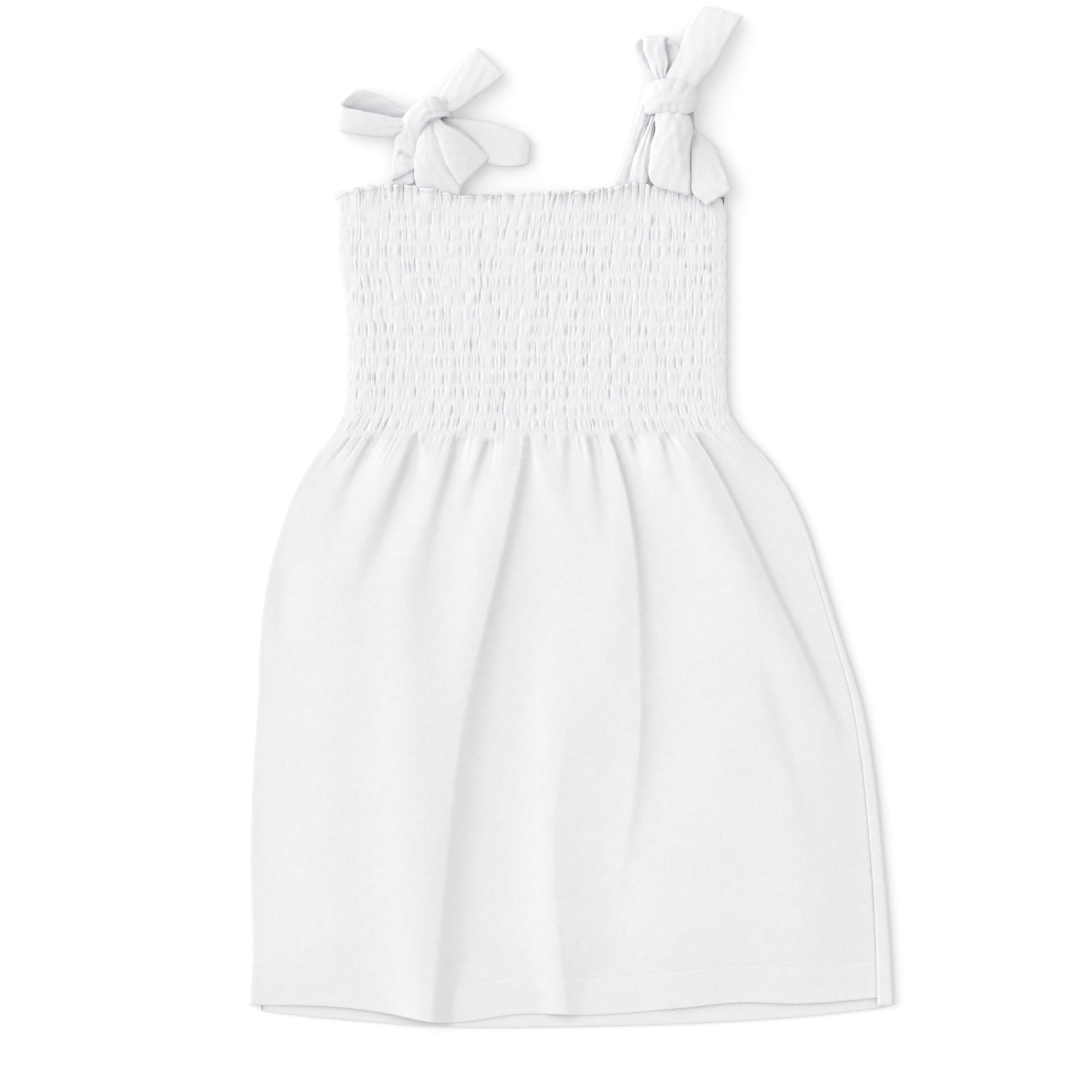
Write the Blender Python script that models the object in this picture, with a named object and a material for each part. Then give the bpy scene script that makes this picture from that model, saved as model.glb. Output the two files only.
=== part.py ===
"""A toddler's terry sundress laid out flat, front side up, with a bow tied on each shoulder.

+X runs to the right, +Y towards the bows and +Z up from the table, which is at z = 0. Left and right
are as seen from above. The origin is below the middle of the whole outline. The sizes and tables are
in millimetres, and Blender's metres are made from them in make_object().
"""

import math
import random
from collections import namedtuple

import bmesh
import bpy

METRES = 0.001

# The cloth
WALL = 2.0  # one layer of terry
GAP = 0.3  # between two pieces, and between two layers
LAYERS = 2 * WALL + GAP  # the height of the back and the front lying on each other
ROLL = LAYERS / 2  # radius of the cloth where it turns round a side of the dress
UNDERLAP = 7.0  # how far the front runs in under the dress, from its left side to its seam
ROLL_STEPS = 4

# The shirred bodice
ELASTIC_ROWS = 15
ELASTIC_TOP = 162.0  # y of the highest elastic thread
ELASTIC_PITCH = 8.4
WAIST = ELASTIC_TOP - (ELASTIC_ROWS - 1) * ELASTIC_PITCH
GATHERS = 42  # across the front
PUFF_AT_ELASTIC = 0.9  # how far a gather stands up where the thread holds it
PUFF_BETWEEN = 2.6  # and midway between two threads
PUFF_IN_RUFFLE = 1.6  # and above the highest thread
PUFF_IN_SKIRT = 1.9  # and just below the lowest
SIDE_SHARE = 0.02  # share of the front's width over which the gathers start at its sides
SLIT_DEPTH = 0.4  # how far the slit between two gathers dips, midway
PUFF_UNEVEN = 0.45
PUFF_LEAN = 0.5  # how far a gather wanders sideways from row to row
PUFF_AT_SIDE = 0.4  # share of a gather's height that is left at the dress's sides
GATHER_SEED = 15
PATCH_FADE = (0.7, 1.3)  # from its middle out, as shares of its half size, where a patch's hold ends
RUFFLE_WAVES = 21  # along the top edge
RUFFLE_LIFT = 2.4
RUFFLE_REACH = 1.1  # how far a wave pushes the top edge up and down the dress
RUFFLE_WALL = 1.6
RUFFLE_DRIFT = 0.8  # radians by which the waves run early or late
RUFFLE_DRIFT_RATE = 11.0  # radians of that drift across the dress

# The skirt
SKIRT_ROWS = 18
ROW_CROWDING = 1.6  # 1 is even rows, and more sets them closer at the waist
GATHERED_ROWS = 5  # skirt rows that still carry every gather
GATHER_FADE = 26.0  # distance below the waist over which the gathers die out
SKIRT_COLUMNS = 50
BACK_COLUMNS = 14
BACK_EDGE_DROP = 0.6  # how far the back's top edge lies below the front's
SKIRT_LOFT = 1.9  # the front's general rise between its folds
LOFT_START = 3.0  # distance from a side at which the loft starts
LOFT_EDGE = 28.0  # and at which it is full
FOLD_EDGE = 12.0  # distance from a side within which the folds die out
FOLD_OVERRUN = 0.1  # share of its length that a fold runs on at each end while it fades
FOLD_START = 0.06  # share of its length at which a fold is full
FOLD_FADE = 0.7  # and at which one that dies out starts to
FOLD_LIMIT = 4.4  # highest fold above the two layers
FOLD_UNDER = 0.78  # share of a fold's height that the inner face follows
HEM_RISE = 0.7  # the turned-up hem's extra thickness
HEM_FROM = 0.93  # share of the skirt's length at which the hem band starts

# The panels' meshes. A chain's points carry places that say which of them face each other.
INNER_STEP = 6  # outer columns for each column of the bodice's plain inner face
SEAM_PLACE = -1.0  # the front's seam, under the dress
ROLL_PLACE = -0.8  # the start of its turned side
ROLL_PLACE_STEP = 0.15
LIP_PLACE = 2.0  # the back's seam, on top of the dress
LIP_ROLL_PLACE = 1.1
LIP_ROLL_STEP = 0.1

# The bows
TIE = 3.0  # thickness of a tie, a turned tube pressed flat
UNDER_CROWN = 0.3  # share of a tie's crown that its underside follows
TABLE_CLEAR = 0.15  # the lowest that a tie is placed
KNOT_GAP = 0.5  # between a tie's end and the knot, whose roundness takes up part of it
SLIDE_STEP = 0.05  # by which a tie's end is moved when it is seated on the knot
MOST_SLIDE = 3.0
SKEW_FROM = 0.5  # share of a loop's length at which its slant starts

# The cloth's white, a shade apart from piece to piece
FRONT_WHITE = (0.86, 0.86, 0.87)
BACK_WHITE = (0.84, 0.84, 0.85)
KNOT_WHITE = (0.87, 0.87, 0.88)
BAND_WHITE = (0.86, 0.86, 0.87)
LOOP_WHITE = (0.85, 0.85, 0.86)
ROUGHNESS = 0.95
SHARP_EDGE = 50  # degrees

# Sides of the dress from the top edge to the hem: the outline's left and right, and how far in from the
# right the side seam lies.
Side = namedtuple("Side", "y left right seam_in")
SIDES = (
    Side(178.0, -124.0, 82.6, 3.2),
    Side(136.0, -123.8, 82.4, 3.2),
    Side(120.0, -121.6, 82.4, 3.2),
    Side(96.0, -119.8, 82.4, 3.2),
    Side(72.0, -119.6, 82.4, 3.2),
    Side(56.0, -121.3, 84.0, 3.2),
    Side(44.4, -127.2, 91.0, 3.6),
    Side(30.0, -138.2, 105.0, 4.0),
    Side(12.0, -148.2, 117.0, 4.2),
    Side(-8.0, -155.6, 126.0, 4.3),
    Side(-34.0, -162.4, 134.2, 4.2),
    Side(-65.0, -166.2, 143.9, 4.6),
    Side(-100.0, -167.6, 154.8, 6.0),
    Side(-140.0, -170.2, 161.6, 7.0),
    Side(-185.0, -171.4, 166.2, 7.8),
    Side(-225.0, -170.2, 169.4, 8.6),
    Side(-262.0, -171.5, 171.5, 9.5),
)

# The top edge and the two hems, from left to right
Edge = namedtuple("Edge", "x y")
TOP_EDGE = (
    Edge(-126.0, 166.5),
    Edge(-113.0, 174.0),
    Edge(-84.0, 173.8),
    Edge(-66.0, 171.0),
    Edge(-50.0, 169.8),
    Edge(-10.0, 170.6),
    Edge(16.0, 173.2),
    Edge(38.0, 175.6),
    Edge(53.0, 171.8),
    Edge(62.0, 168.6),
    Edge(84.0, 170.0),
)
FRONT_HEM = (
    Edge(-172.0, -258.2),
    Edge(-130.0, -258.8),
    Edge(-101.0, -262.0),
    Edge(-74.0, -267.0),
    Edge(-58.0, -267.3),
    Edge(-27.0, -263.0),
    Edge(13.0, -263.4),
    Edge(58.0, -259.8),
    Edge(90.0, -256.8),
    Edge(123.0, -257.4),
    Edge(172.0, -253.5),
)
BACK_HEM = (
    Edge(-172.0, -259.4),
    Edge(-155.0, -262.6),
    Edge(-104.0, -267.4),
    Edge(-70.0, -270.0),
    Edge(33.0, -269.0),
    Edge(110.0, -265.3),
    Edge(164.0, -259.7),
    Edge(172.0, -257.3),
)

# Folds of the skirt's front: where one starts, what it passes halfway, where it ends, its height there
# (a trough has a negative one) and how far it spreads to its left and its right.
Fold = namedtuple("Fold", "x_top y_top x_half x_end y_end rise_top rise_end left right")
FOLDS = (
    Fold(-23.0, 39.0, -44.0, -64.0, -266.0, -3.2, -2.2, 8.0, 8.0),
    Fold(18.0, 44.0, 35.0, 35.0, -190.0, -2.4, 0.0, 5.0, 9.0),
    Fold(65.0, 44.0, 103.0, 141.0, -104.0, -2.6, -0.4, 5.0, 9.0),
    Fold(48.0, 44.0, 56.0, 69.0, 2.0, -1.8, 0.0, 4.5, 5.0),
    Fold(-85.0, 41.0, -98.0, -115.0, -34.0, -2.2, 0.0, 6.0, 5.0),
    Fold(-62.0, 38.0, -73.0, -77.0, -95.0, -2.0, 0.0, 5.0, 6.0),
    Fold(-47.0, 38.0, -51.0, -57.0, -8.0, -1.6, 0.0, 4.5, 4.5),
    Fold(-104.0, 42.0, -120.0, -125.0, -38.0, -1.3, 0.0, 6.0, 6.0),
    Fold(11.0, 42.0, 18.0, 20.0, -32.0, -1.5, 0.0, 4.5, 5.0),
    Fold(3.0, -65.0, -5.0, 7.0, -262.0, -0.6, -1.9, 9.0, 11.0),
    Fold(103.0, -78.0, 118.0, 139.0, -200.0, -1.2, 0.0, 7.0, 10.0),
    Fold(-154.0, -28.0, -152.0, -149.0, -78.0, -0.9, 0.0, 8.0, 9.0),
    Fold(-91.0, 12.0, -90.0, -79.0, -264.0, 1.2, 2.2, 20.0, 13.0),
    Fold(-12.0, -62.0, -17.0, -14.0, -262.0, 1.0, 1.7, 11.0, 8.0),
)

# Places near the top edge that the stitched-in ends of the ties hold flat
Patch = namedtuple("Patch", "x y half_wide half_high")
PATCHES = (Patch(-58.0, 161.0, 13.0, 7.0), Patch(39.0, 163.0, 14.0, 6.0))

# A knot is a rounded lump, wrapped by a tie. Turn is its angle in degrees, seen from above.
Knot = namedtuple("Knot", "name x y z half_long half_wide half_high turn")
KNOTS = {
    "left": Knot("left_knot", -76.0, 216.0, 8.3, 10.2, 7.0, 7.2, 14.0),
    "right": Knot("right_knot", 52.5, 221.6, 9.0, 13.3, 8.9, 8.2, -3.0),
}
KNOT_SQUARENESS = 2.5  # 2 is an ellipsoid, and more is squarer
KNOT_WRAPS = 3  # turns of the tie that ridge the knot
KNOT_RIDGE = 0.05
KNOT_SLANT = 0.15  # how far the wraps lean
KNOT_AROUND = 20
KNOT_RINGS = 12

# A flat stretch of a tie, from the knot outwards. Width is across the tie, bank is how many degrees
# its right edge is lifted, and crown is how far its middle is puffed up.
Stretch = namedtuple("Stretch", "x y z width bank crown")
# Each band has its name, its bow and its far end: "edge" seats that end along the dress's top edge, and
# a number is the angle in degrees by which the tail's cut is askew.
BANDS = (
    ("left_strap_back", "left", "edge", (
        Stretch(-85.3, 208.4, 8.0, 6.0, 0.0, 0.6),
        Stretch(-88.6, 201.6, 5.6, 8.2, 0.0, 0.8),
        Stretch(-90.2, 191.5, 2.0, 8.0, 0.0, 0.5),
        Stretch(-89.6, 183.5, 1.7, 8.6, 0.0, 0.3),
        Stretch(-89.2, 175.0, 1.7, 9.0, 0.0, 0.2),
    )),
    ("left_strap_front", "left", "edge", (
        Stretch(-76.4, 207.5, 7.0, 5.0, 0.0, 0.8),
        Stretch(-76.6, 199.0, 6.0, 11.5, 0.0, 1.6),
        Stretch(-74.8, 187.0, 4.8, 18.0, 0.0, 1.2),
        Stretch(-70.4, 173.0, 4.2, 23.0, 0.0, 0.4),
    )),
    ("left_tail_lower", "left", 12.0, (
        Stretch(-69.6, 209.4, 10.2, 6.0, 0.0, 0.5),
        Stretch(-64.2, 202.8, 9.4, 9.5, -4.0, 1.0),
        Stretch(-58.4, 194.8, 8.8, 14.5, -8.0, 1.2),
        Stretch(-51.8, 184.0, 5.2, 20.0, -13.0, 0.6),
    )),
    ("left_tail_upper", "left", 6.0, (
        Stretch(-65.5, 219.4, 9.0, 10.0, 0.0, 0.8),
        Stretch(-56.0, 227.8, 7.2, 15.5, 4.0, 1.2),
        Stretch(-49.0, 235.0, 5.2, 18.5, 6.0, 0.9),
        Stretch(-43.6, 240.4, 4.2, 19.8, 7.0, 0.4),
    )),
    ("right_strap_back", "right", "edge", (
        Stretch(38.0, 217.0, 4.0, 5.0, 0.0, 0.4),
        Stretch(34.4, 207.5, 2.4, 6.4, 0.0, 0.5),
        Stretch(30.6, 195.5, 1.8, 7.0, 0.0, 0.4),
        Stretch(27.6, 175.0, 1.7, 7.4, 0.0, 0.2),
    )),
    ("right_strap_front", "right", "edge", (
        Stretch(41.4, 211.6, 7.2, 3.6, 0.0, 0.3),
        Stretch(38.2, 200.0, 6.0, 5.4, 0.0, 0.4),
        Stretch(35.2, 187.0, 5.3, 6.4, 0.0, 0.4),
        Stretch(34.2, 175.0, 5.1, 6.8, 0.0, 0.2),
    )),
    ("right_tail_upper", "right", 20.0, (
        Stretch(58.6, 232.0, 10.5, 12.5, 0.0, 0.8),
        Stretch(66.4, 241.4, 8.2, 18.5, 4.0, 1.4),
        Stretch(72.4, 253.6, 5.4, 21.5, 5.0, 1.0),
        Stretch(80.4, 266.4, 4.0, 22.0, 6.0, 0.4),
    )),
    ("right_tail_lower", "right", 2.0, (
        Stretch(62.4, 213.2, 4.6, 8.0, 0.0, 0.3),
        Stretch(66.0, 202.0, 2.2, 11.0, 0.0, 0.4),
        Stretch(70.2, 191.0, 4.2, 15.0, 0.0, 0.5),
        Stretch(73.2, 180.0, 9.2, 19.0, 0.0, 0.5),
        Stretch(76.6, 168.8, 9.9, 18.5, 0.0, 0.3),
    )),
)

# A loop runs out from the knot, turns over and comes back. Its rows follow the middle between its two
# layers, and open is the room between them. Each loop has its name, its bow and how askew its end is.
Loop = namedtuple("Loop", "x y z width bank open")
LOOPS = (
    ("left_loop_outer", "left", 0.0, (
        Loop(-89.2, 216.2, 8.8, 6.4, -38.0, 0.5),
        Loop(-98.8, 212.8, 8.6, 13.0, -38.0, 2.2),
        Loop(-109.0, 212.4, 9.0, 17.0, -38.0, 3.4),
        Loop(-117.4, 213.0, 8.8, 16.5, -38.0, 3.8),
    )),
    ("left_loop_inner", "left", 6.0, (
        Loop(-63.6, 211.2, 4.2, 7.0, 0.0, 0.4),
        Loop(-47.0, 203.6, 3.5, 14.5, 0.0, 0.5),
        Loop(-34.5, 198.2, 3.4, 16.5, 0.0, 0.5),
        Loop(-26.2, 195.6, 3.4, 16.5, 0.0, 0.5),
    )),
    ("right_loop_upper", "right", -5.0, (
        Loop(46.0, 232.6, 5.8, 7.5, 0.0, 0.5),
        Loop(45.0, 239.4, 5.4, 12.0, 0.0, 1.6),
        Loop(44.2, 248.6, 5.2, 20.5, 0.0, 2.6),
    )),
    ("right_loop_lower", "right", -13.0, (
        Loop(53.2, 210.4, 10.4, 17.0, 0.0, 0.5),
        Loop(54.0, 203.5, 10.2, 18.0, 0.0, 0.8),
        Loop(52.2, 193.0, 9.0, 19.0, 0.0, 1.0),
        Loop(51.3, 179.0, 7.4, 20.8, 0.0, 1.0),
    )),
)
STRETCH_STEPS = 2  # rings between two rows of a table
LOOP_TURN_STEPS = 4
# A tie's section, as shares of its half width and half thickness, going round it
SECTION = (
    (-1.0, 0.0), (-0.82, -0.85), (-0.3, -1.0), (0.3, -1.0), (0.82, -0.85),
    (1.0, 0.0), (0.82, 0.85), (0.3, 1.0), (-0.3, 1.0), (-0.82, 0.85),
)
# The faces that close a section
CAP = ((0, 1, 9), (1, 2, 8, 9), (2, 3, 7, 8), (3, 4, 6, 7), (4, 5, 6))


def clear_scene():
    for thing in list(bpy.data.objects):
        bpy.data.objects.remove(thing, do_unlink=True)


def terry(name, colour):
    """Soft white towelling with no shine."""
    material = bpy.data.materials.new(name)
    material.use_nodes = True
    shader = material.node_tree.nodes["Principled BSDF"]
    shader.inputs["Base Color"].default_value = (*colour, 1.0)
    shader.inputs["Roughness"].default_value = ROUGHNESS
    shader.inputs["Metallic"].default_value = 0.0
    return material


def curve_through(places, values, at):
    """A smooth curve through the table's values, read at one place. The places may rise or fall."""
    if places[0] > places[-1]:
        places, values = places[::-1], values[::-1]
    at = min(max(at, places[0]), places[-1])
    k = max(i for i in range(len(places) - 1) if places[i] <= at)

    def slope(i):
        before, after = max(i - 1, 0), min(i + 1, len(places) - 1)
        return (values[after] - values[before]) / (places[after] - places[before])

    span = places[k + 1] - places[k]
    t = (at - places[k]) / span
    return (
        (1 + 2 * t) * (1 - t) ** 2 * values[k]
        + t * (1 - t) ** 2 * span * slope(k)
        + t * t * (3 - 2 * t) * values[k + 1]
        + t * t * (t - 1) * span * slope(k + 1)
    )


def side(column, y):
    return curve_through([row.y for row in SIDES], [getattr(row, column) for row in SIDES], y)


def edge_y(table, x):
    return curve_through([row.x for row in table], [row.y for row in table], x)


def smoothstep(low, high, value):
    t = min(max((value - low) / (high - low), 0.0), 1.0)
    return t * t * (3 - 2 * t)


def make_object(name, points, faces, colour):
    """One closed body with its faces pointing out, from points in millimetres."""
    mesh = bpy.data.meshes.new(name)
    mesh.from_pydata([[value * METRES for value in point] for point in points], [], faces)
    shape = bmesh.new()
    shape.from_mesh(mesh)
    bmesh.ops.recalc_face_normals(shape, faces=shape.faces)
    shape.to_mesh(mesh)
    shape.free()
    mesh.materials.append(terry(name, colour))
    mesh.shade_smooth()
    mesh.set_sharp_from_angle(angle=math.radians(SHARP_EDGE))
    thing = bpy.data.objects.new(name, mesh)
    bpy.context.scene.collection.objects.link(thing)
    return thing


class Wall:
    """A cloth wall from rows of points on its outer and inner face. A row is a list of (place along it,
    point), and rows may hold different numbers of points."""

    def __init__(self):
        self.points = []
        self.faces = []
        self.rims = []

    def chain(self, row):
        start = len(self.points)
        self.points += [point for _, point in row]
        return [(place, start + i) for i, (place, _) in enumerate(row)]

    def stitch(self, first, second):
        """Triangles between two chains, stepping along whichever comes next."""
        i = j = 0
        while i < len(first) - 1 or j < len(second) - 1:
            step_first = j == len(second) - 1 or (
                i < len(first) - 1 and first[i + 1][0] <= second[j + 1][0]
            )
            if step_first:
                self.faces.append((first[i][1], second[j][1], first[i + 1][1]))
                i += 1
            else:
                self.faces.append((first[i][1], second[j][1], second[j + 1][1]))
                j += 1

    def face_of(self, rows):
        """Adds one face of the wall from its rows, each with its place down the dress."""
        chains = [(place, self.chain(row)) for place, row in rows]
        for (_, upper), (_, lower) in zip(chains, chains[1:]):
            self.stitch(upper, lower)
        self.rims.append(chains)

    def close(self):
        """Joins the outer face's four edges to the inner face's."""
        outer, inner = self.rims
        self.stitch(outer[0][1], inner[0][1])
        self.stitch(outer[-1][1], inner[-1][1])
        for end in (0, -1):
            self.stitch(
                [(place, chain[end][1]) for place, chain in outer],
                [(place, chain[end][1]) for place, chain in inner],
            )


def gather_noise():
    """How far each gather is off its even place and height, row by row."""
    chance = random.Random(GATHER_SEED)
    rows = 2 * ELASTIC_ROWS + GATHERED_ROWS + 2
    return [
        [(chance.uniform(-1, 1), chance.uniform(-1, 1)) for _ in range(2 * GATHERS + 1)]
        for _ in range(rows)
    ]


def patch_hold(x, y):
    """0 where a tie's end holds the bodice flat, and 1 away from it."""
    free = 1.0
    for patch in PATCHES:
        away = max(abs(x - patch.x) / patch.half_wide, abs(y - patch.y) / patch.half_high)
        free = min(free, smoothstep(*PATCH_FADE, away))
    return free


def fold_height(x, y):
    """How far the skirt's front rises above the two layers: its loft, folds and troughs."""
    left, right = side("left", y), side("right", y)
    inset = min(x - left, right - x)
    total = SKIRT_LOFT * smoothstep(LOFT_START, LOFT_EDGE, inset)
    for fold in FOLDS:
        run = (fold.y_top - y) / (fold.y_top - fold.y_end)
        if not -FOLD_OVERRUN < run < 1 + FOLD_OVERRUN:
            continue
        t = min(max(run, 0.0), 1.0)
        middle = (
            (1 - t) * (1 - 2 * t) * fold.x_top
            + 4 * t * (1 - t) * fold.x_half
            + t * (2 * t - 1) * fold.x_end
        )
        spread = fold.left if x < middle else fold.right
        rise = fold.rise_top + (fold.rise_end - fold.rise_top) * t
        rise *= smoothstep(-FOLD_OVERRUN, FOLD_START, run)
        if not fold.rise_end:
            rise *= smoothstep(1 + FOLD_OVERRUN, FOLD_FADE, run)
        total += rise * math.exp(-(((x - middle) / spread) ** 2))
    keep = smoothstep(0.0, FOLD_EDGE, inset)
    return min(max(total * keep, 0.0), FOLD_LIMIT)


def top_wave(share):
    """The ruffled edge's shift in y and its lift at one place, share being 0 to 1 across the dress."""
    turn = 2 * math.pi * RUFFLE_WAVES * share
    turn += RUFFLE_DRIFT * math.sin(RUFFLE_DRIFT_RATE * share)
    return RUFFLE_REACH * math.sin(turn), RUFFLE_LIFT * (0.5 - 0.5 * math.cos(turn))


def back_edge_y(x):
    """The back's top edge: the front's ruffle in outline, a little lower."""
    left, right = side("left", ELASTIC_TOP), side("right", ELASTIC_TOP) - side("seam_in", ELASTIC_TOP)
    share = (x - left - ROLL) / (right - GAP - left - ROLL)
    return edge_y(TOP_EDGE, x) + top_wave(share)[0] - BACK_EDGE_DROP


def rolled_side(x, y, height, sign):
    """Points round a turned side, from the table up. Sign is -1 at the left side and 1 at the right."""
    points = []
    for k in range(ROLL_STEPS + 1):
        angle = math.pi * (k / ROLL_STEPS - 0.5)
        points.append((x + sign * ROLL * math.cos(angle), y, height / 2 * (1 + math.sin(angle))))
    return points


def front_rows():
    """(kind, number of that kind) for each row of the front, from its top edge down."""
    rows = [("edge", 0), ("ruffle", 0)]
    for k in range(ELASTIC_ROWS):
        rows.append(("elastic", k))
        if k < ELASTIC_ROWS - 1:
            rows.append(("between", k))
    return rows + [("skirt", k) for k in range(1, SKIRT_ROWS + 1)]


def skirt_share(k):
    """How far down the skirt its row k lies, with the rows closest together at the waist."""
    return (k / SKIRT_ROWS) ** ROW_CROWDING


def row_y(kind, k, x, share):
    """How far up the dress a point of one of the front's rows lies."""
    if kind == "edge":
        return edge_y(TOP_EDGE, x) + top_wave(share)[0]
    if kind == "ruffle":
        return (edge_y(TOP_EDGE, x) + ELASTIC_TOP) / 2
    if kind == "elastic":
        return ELASTIC_TOP - k * ELASTIC_PITCH
    if kind == "between":
        return ELASTIC_TOP - (k + 0.5) * ELASTIC_PITCH
    return WAIST + (edge_y(FRONT_HEM, x) - WAIST) * skirt_share(k)


def column_x(y, share):
    """Where a column of the front crosses one height, between the rolled side and the seam."""
    left = side("left", y) + ROLL
    right = side("right", y) - side("seam_in", y) - GAP
    return left + (right - left) * share


def front_relief(kind, k, x, y, share, ridge, uneven):
    """How far the front's outer face stands above the two layers."""
    inland = smoothstep(0.0, SIDE_SHARE, share) * smoothstep(1.0, 1 - SIDE_SHARE, share)
    if kind == "edge":
        return top_wave(share)[1] - WALL + RUFFLE_WALL
    free = patch_hold(x, y) * (PUFF_AT_SIDE + (1 - PUFF_AT_SIDE) * inland)
    if kind == "ruffle":
        return free * ridge * PUFF_IN_RUFFLE
    if kind == "elastic":
        return free * ridge * PUFF_AT_ELASTIC
    if kind == "between":
        return free * (ridge * (PUFF_BETWEEN + PUFF_UNEVEN * uneven) - (1 - ridge) * SLIT_DEPTH)
    gather = smoothstep(GATHER_FADE, 0.0, WAIST - y) * (ridge * PUFF_IN_SKIRT - SLIT_DEPTH)
    hem = HEM_RISE if skirt_share(k) > HEM_FROM else 0.0
    return fold_height(x, y) + inland * (gather + hem)


def build_front():
    """The front panel: ruffled edge, shirred bodice, skirt and hem, rolled under at its left side."""
    noise = gather_noise()
    outer, inner = [], []
    for number, (kind, k) in enumerate(front_rows()):
        gathered = kind != "skirt" or k < GATHERED_ROWS
        count = 2 * GATHERS if gathered else SKIRT_COLUMNS
        level = row_y(kind, k, 0.0, 0.0)
        top = []
        for c in range(count + 1):
            share = c / count
            x = column_x(level, share)
            y = row_y(kind, k, x, share)
            x = column_x(y, share)
            ridge = c % 2 if gathered else 0
            sway, uneven = noise[number][c] if gathered else (0.0, 0.0)
            relief = front_relief(kind, k, x, y, share, ridge, uneven)
            if 0 < c < count and kind in ("between", "elastic"):
                x += PUFF_LEAN * sway
            top.append((share, (x, y, LAYERS + relief)))
        first_y = top[0][1][1]
        left = side("left", first_y)
        under = [(SEAM_PLACE, (left + UNDERLAP, first_y, 0.0))]
        arc = rolled_side(left + ROLL, first_y, top[0][1][2], -1)[:-1]
        under += [(ROLL_PLACE + ROLL_PLACE_STEP * i, point) for i, point in enumerate(arc)]
        outer.append((number, under + top))
        inner_row = front_inner_row(kind, k, top, left, first_y)
        if inner_row:
            inner.append((number, inner_row))
    wall = Wall()
    wall.face_of(outer)
    wall.face_of(inner)
    wall.close()
    return make_object("front", wall.points, wall.faces, FRONT_WHITE)


def front_inner_row(kind, k, top, left, y):
    """The row of the front's plain inner face that backs an outer row, or None where none is needed."""
    if kind == "ruffle" or kind == "between" and k < ELASTIC_ROWS - 2:
        return None
    under = [
        (SEAM_PLACE, (left + UNDERLAP, y, WALL)),
        (ROLL_PLACE + 2 * ROLL_PLACE_STEP, (left + ROLL, y, WALL)),
        (ROLL_PLACE + 3 * ROLL_PLACE_STEP, (left + ROLL - GAP / 2, y, WALL + GAP / 2)),
    ]
    if kind == "edge":
        return under + [(share, (px, py, pz - RUFFLE_WALL)) for share, (px, py, pz) in top]
    step = 2 if kind == "skirt" else INNER_STEP
    row = []
    for c in range(0, len(top), step):
        share, (px, py, pz) = top[c]
        raised = 0.0
        if kind == "skirt":
            beside = top[max(c - 1, 0) : c + 2]
            raised = FOLD_UNDER * min(fold_height(point[0], py) for _, point in beside)
        row.append((share, (px, py, WALL + GAP + raised)))
    return under + row


def back_rows():
    """The back's rows: those of the front that its plain slab needs, and its own deeper hem."""
    rows = [("edge", 0)]
    rows += [("elastic", k) for k in range(ELASTIC_ROWS - 1)]
    rows += [("between", ELASTIC_ROWS - 2), ("elastic", ELASTIC_ROWS - 1)]
    return rows + [("skirt", k) for k in range(1, SKIRT_ROWS + 1)] + [("hem", 0)]


def back_row_y(kind, k, x):
    if kind == "edge":
        return back_edge_y(x)
    if kind == "hem":
        return edge_y(BACK_HEM, x)
    return row_y(kind, k, x, 0.0)


def build_back():
    """The back panel, flat on the table, rolled round the right side to the seam on top."""
    outer, inner = [], []
    for number, (kind, k) in enumerate(back_rows()):
        low, high = [], []
        count = 4 * RUFFLE_WAVES if kind == "edge" else BACK_COLUMNS
        for c in range(count + 1):
            share = c / count
            x, y = 0.0, 0.0
            for _ in range(3):
                y = back_row_y(kind, k, x)
                left = side("left", y) + UNDERLAP + GAP
                right = side("right", y) - ROLL
                x = left + (right - left) * share
            low.append((share, (x, y, 0.0)))
            high.append((share, (x, y, WALL)))
        x, y, _ = low[-1][1]
        lip = side("right", y) - side("seam_in", y)
        arc = rolled_side(x, y, LAYERS, 1)[1:]
        low += [(LIP_ROLL_PLACE + LIP_ROLL_STEP * i, point) for i, point in enumerate(arc)]
        low.append((LIP_PLACE, (lip, y, LAYERS)))
        high += [
            (LIP_ROLL_PLACE, (x + GAP / 2, y, WALL + GAP / 2)),
            (LIP_ROLL_PLACE + LIP_ROLL_STEP, (x, y, WALL + GAP)),
            (LIP_PLACE, (lip, y, WALL + GAP)),
        ]
        outer.append((number, low))
        inner.append((number, high))
    wall = Wall()
    wall.face_of(outer)
    wall.face_of(inner)
    wall.close()
    return make_object("back", wall.points, wall.faces, BACK_WHITE)


def knot_level(knot, point, swell):
    """Below 1 inside the knot's rounded lump and above 1 outside it, with the lump grown by swell."""
    turn = math.radians(knot.turn)
    dx, dy, dz = point[0] - knot.x, point[1] - knot.y, point[2] - knot.z
    along = dx * math.cos(turn) + dy * math.sin(turn)
    across = dy * math.cos(turn) - dx * math.sin(turn)
    shares = (
        along / (knot.half_long + swell),
        across / (knot.half_wide + swell),
        dz / (knot.half_high + swell),
    )
    return sum(abs(share) ** KNOT_SQUARENESS for share in shares)


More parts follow.
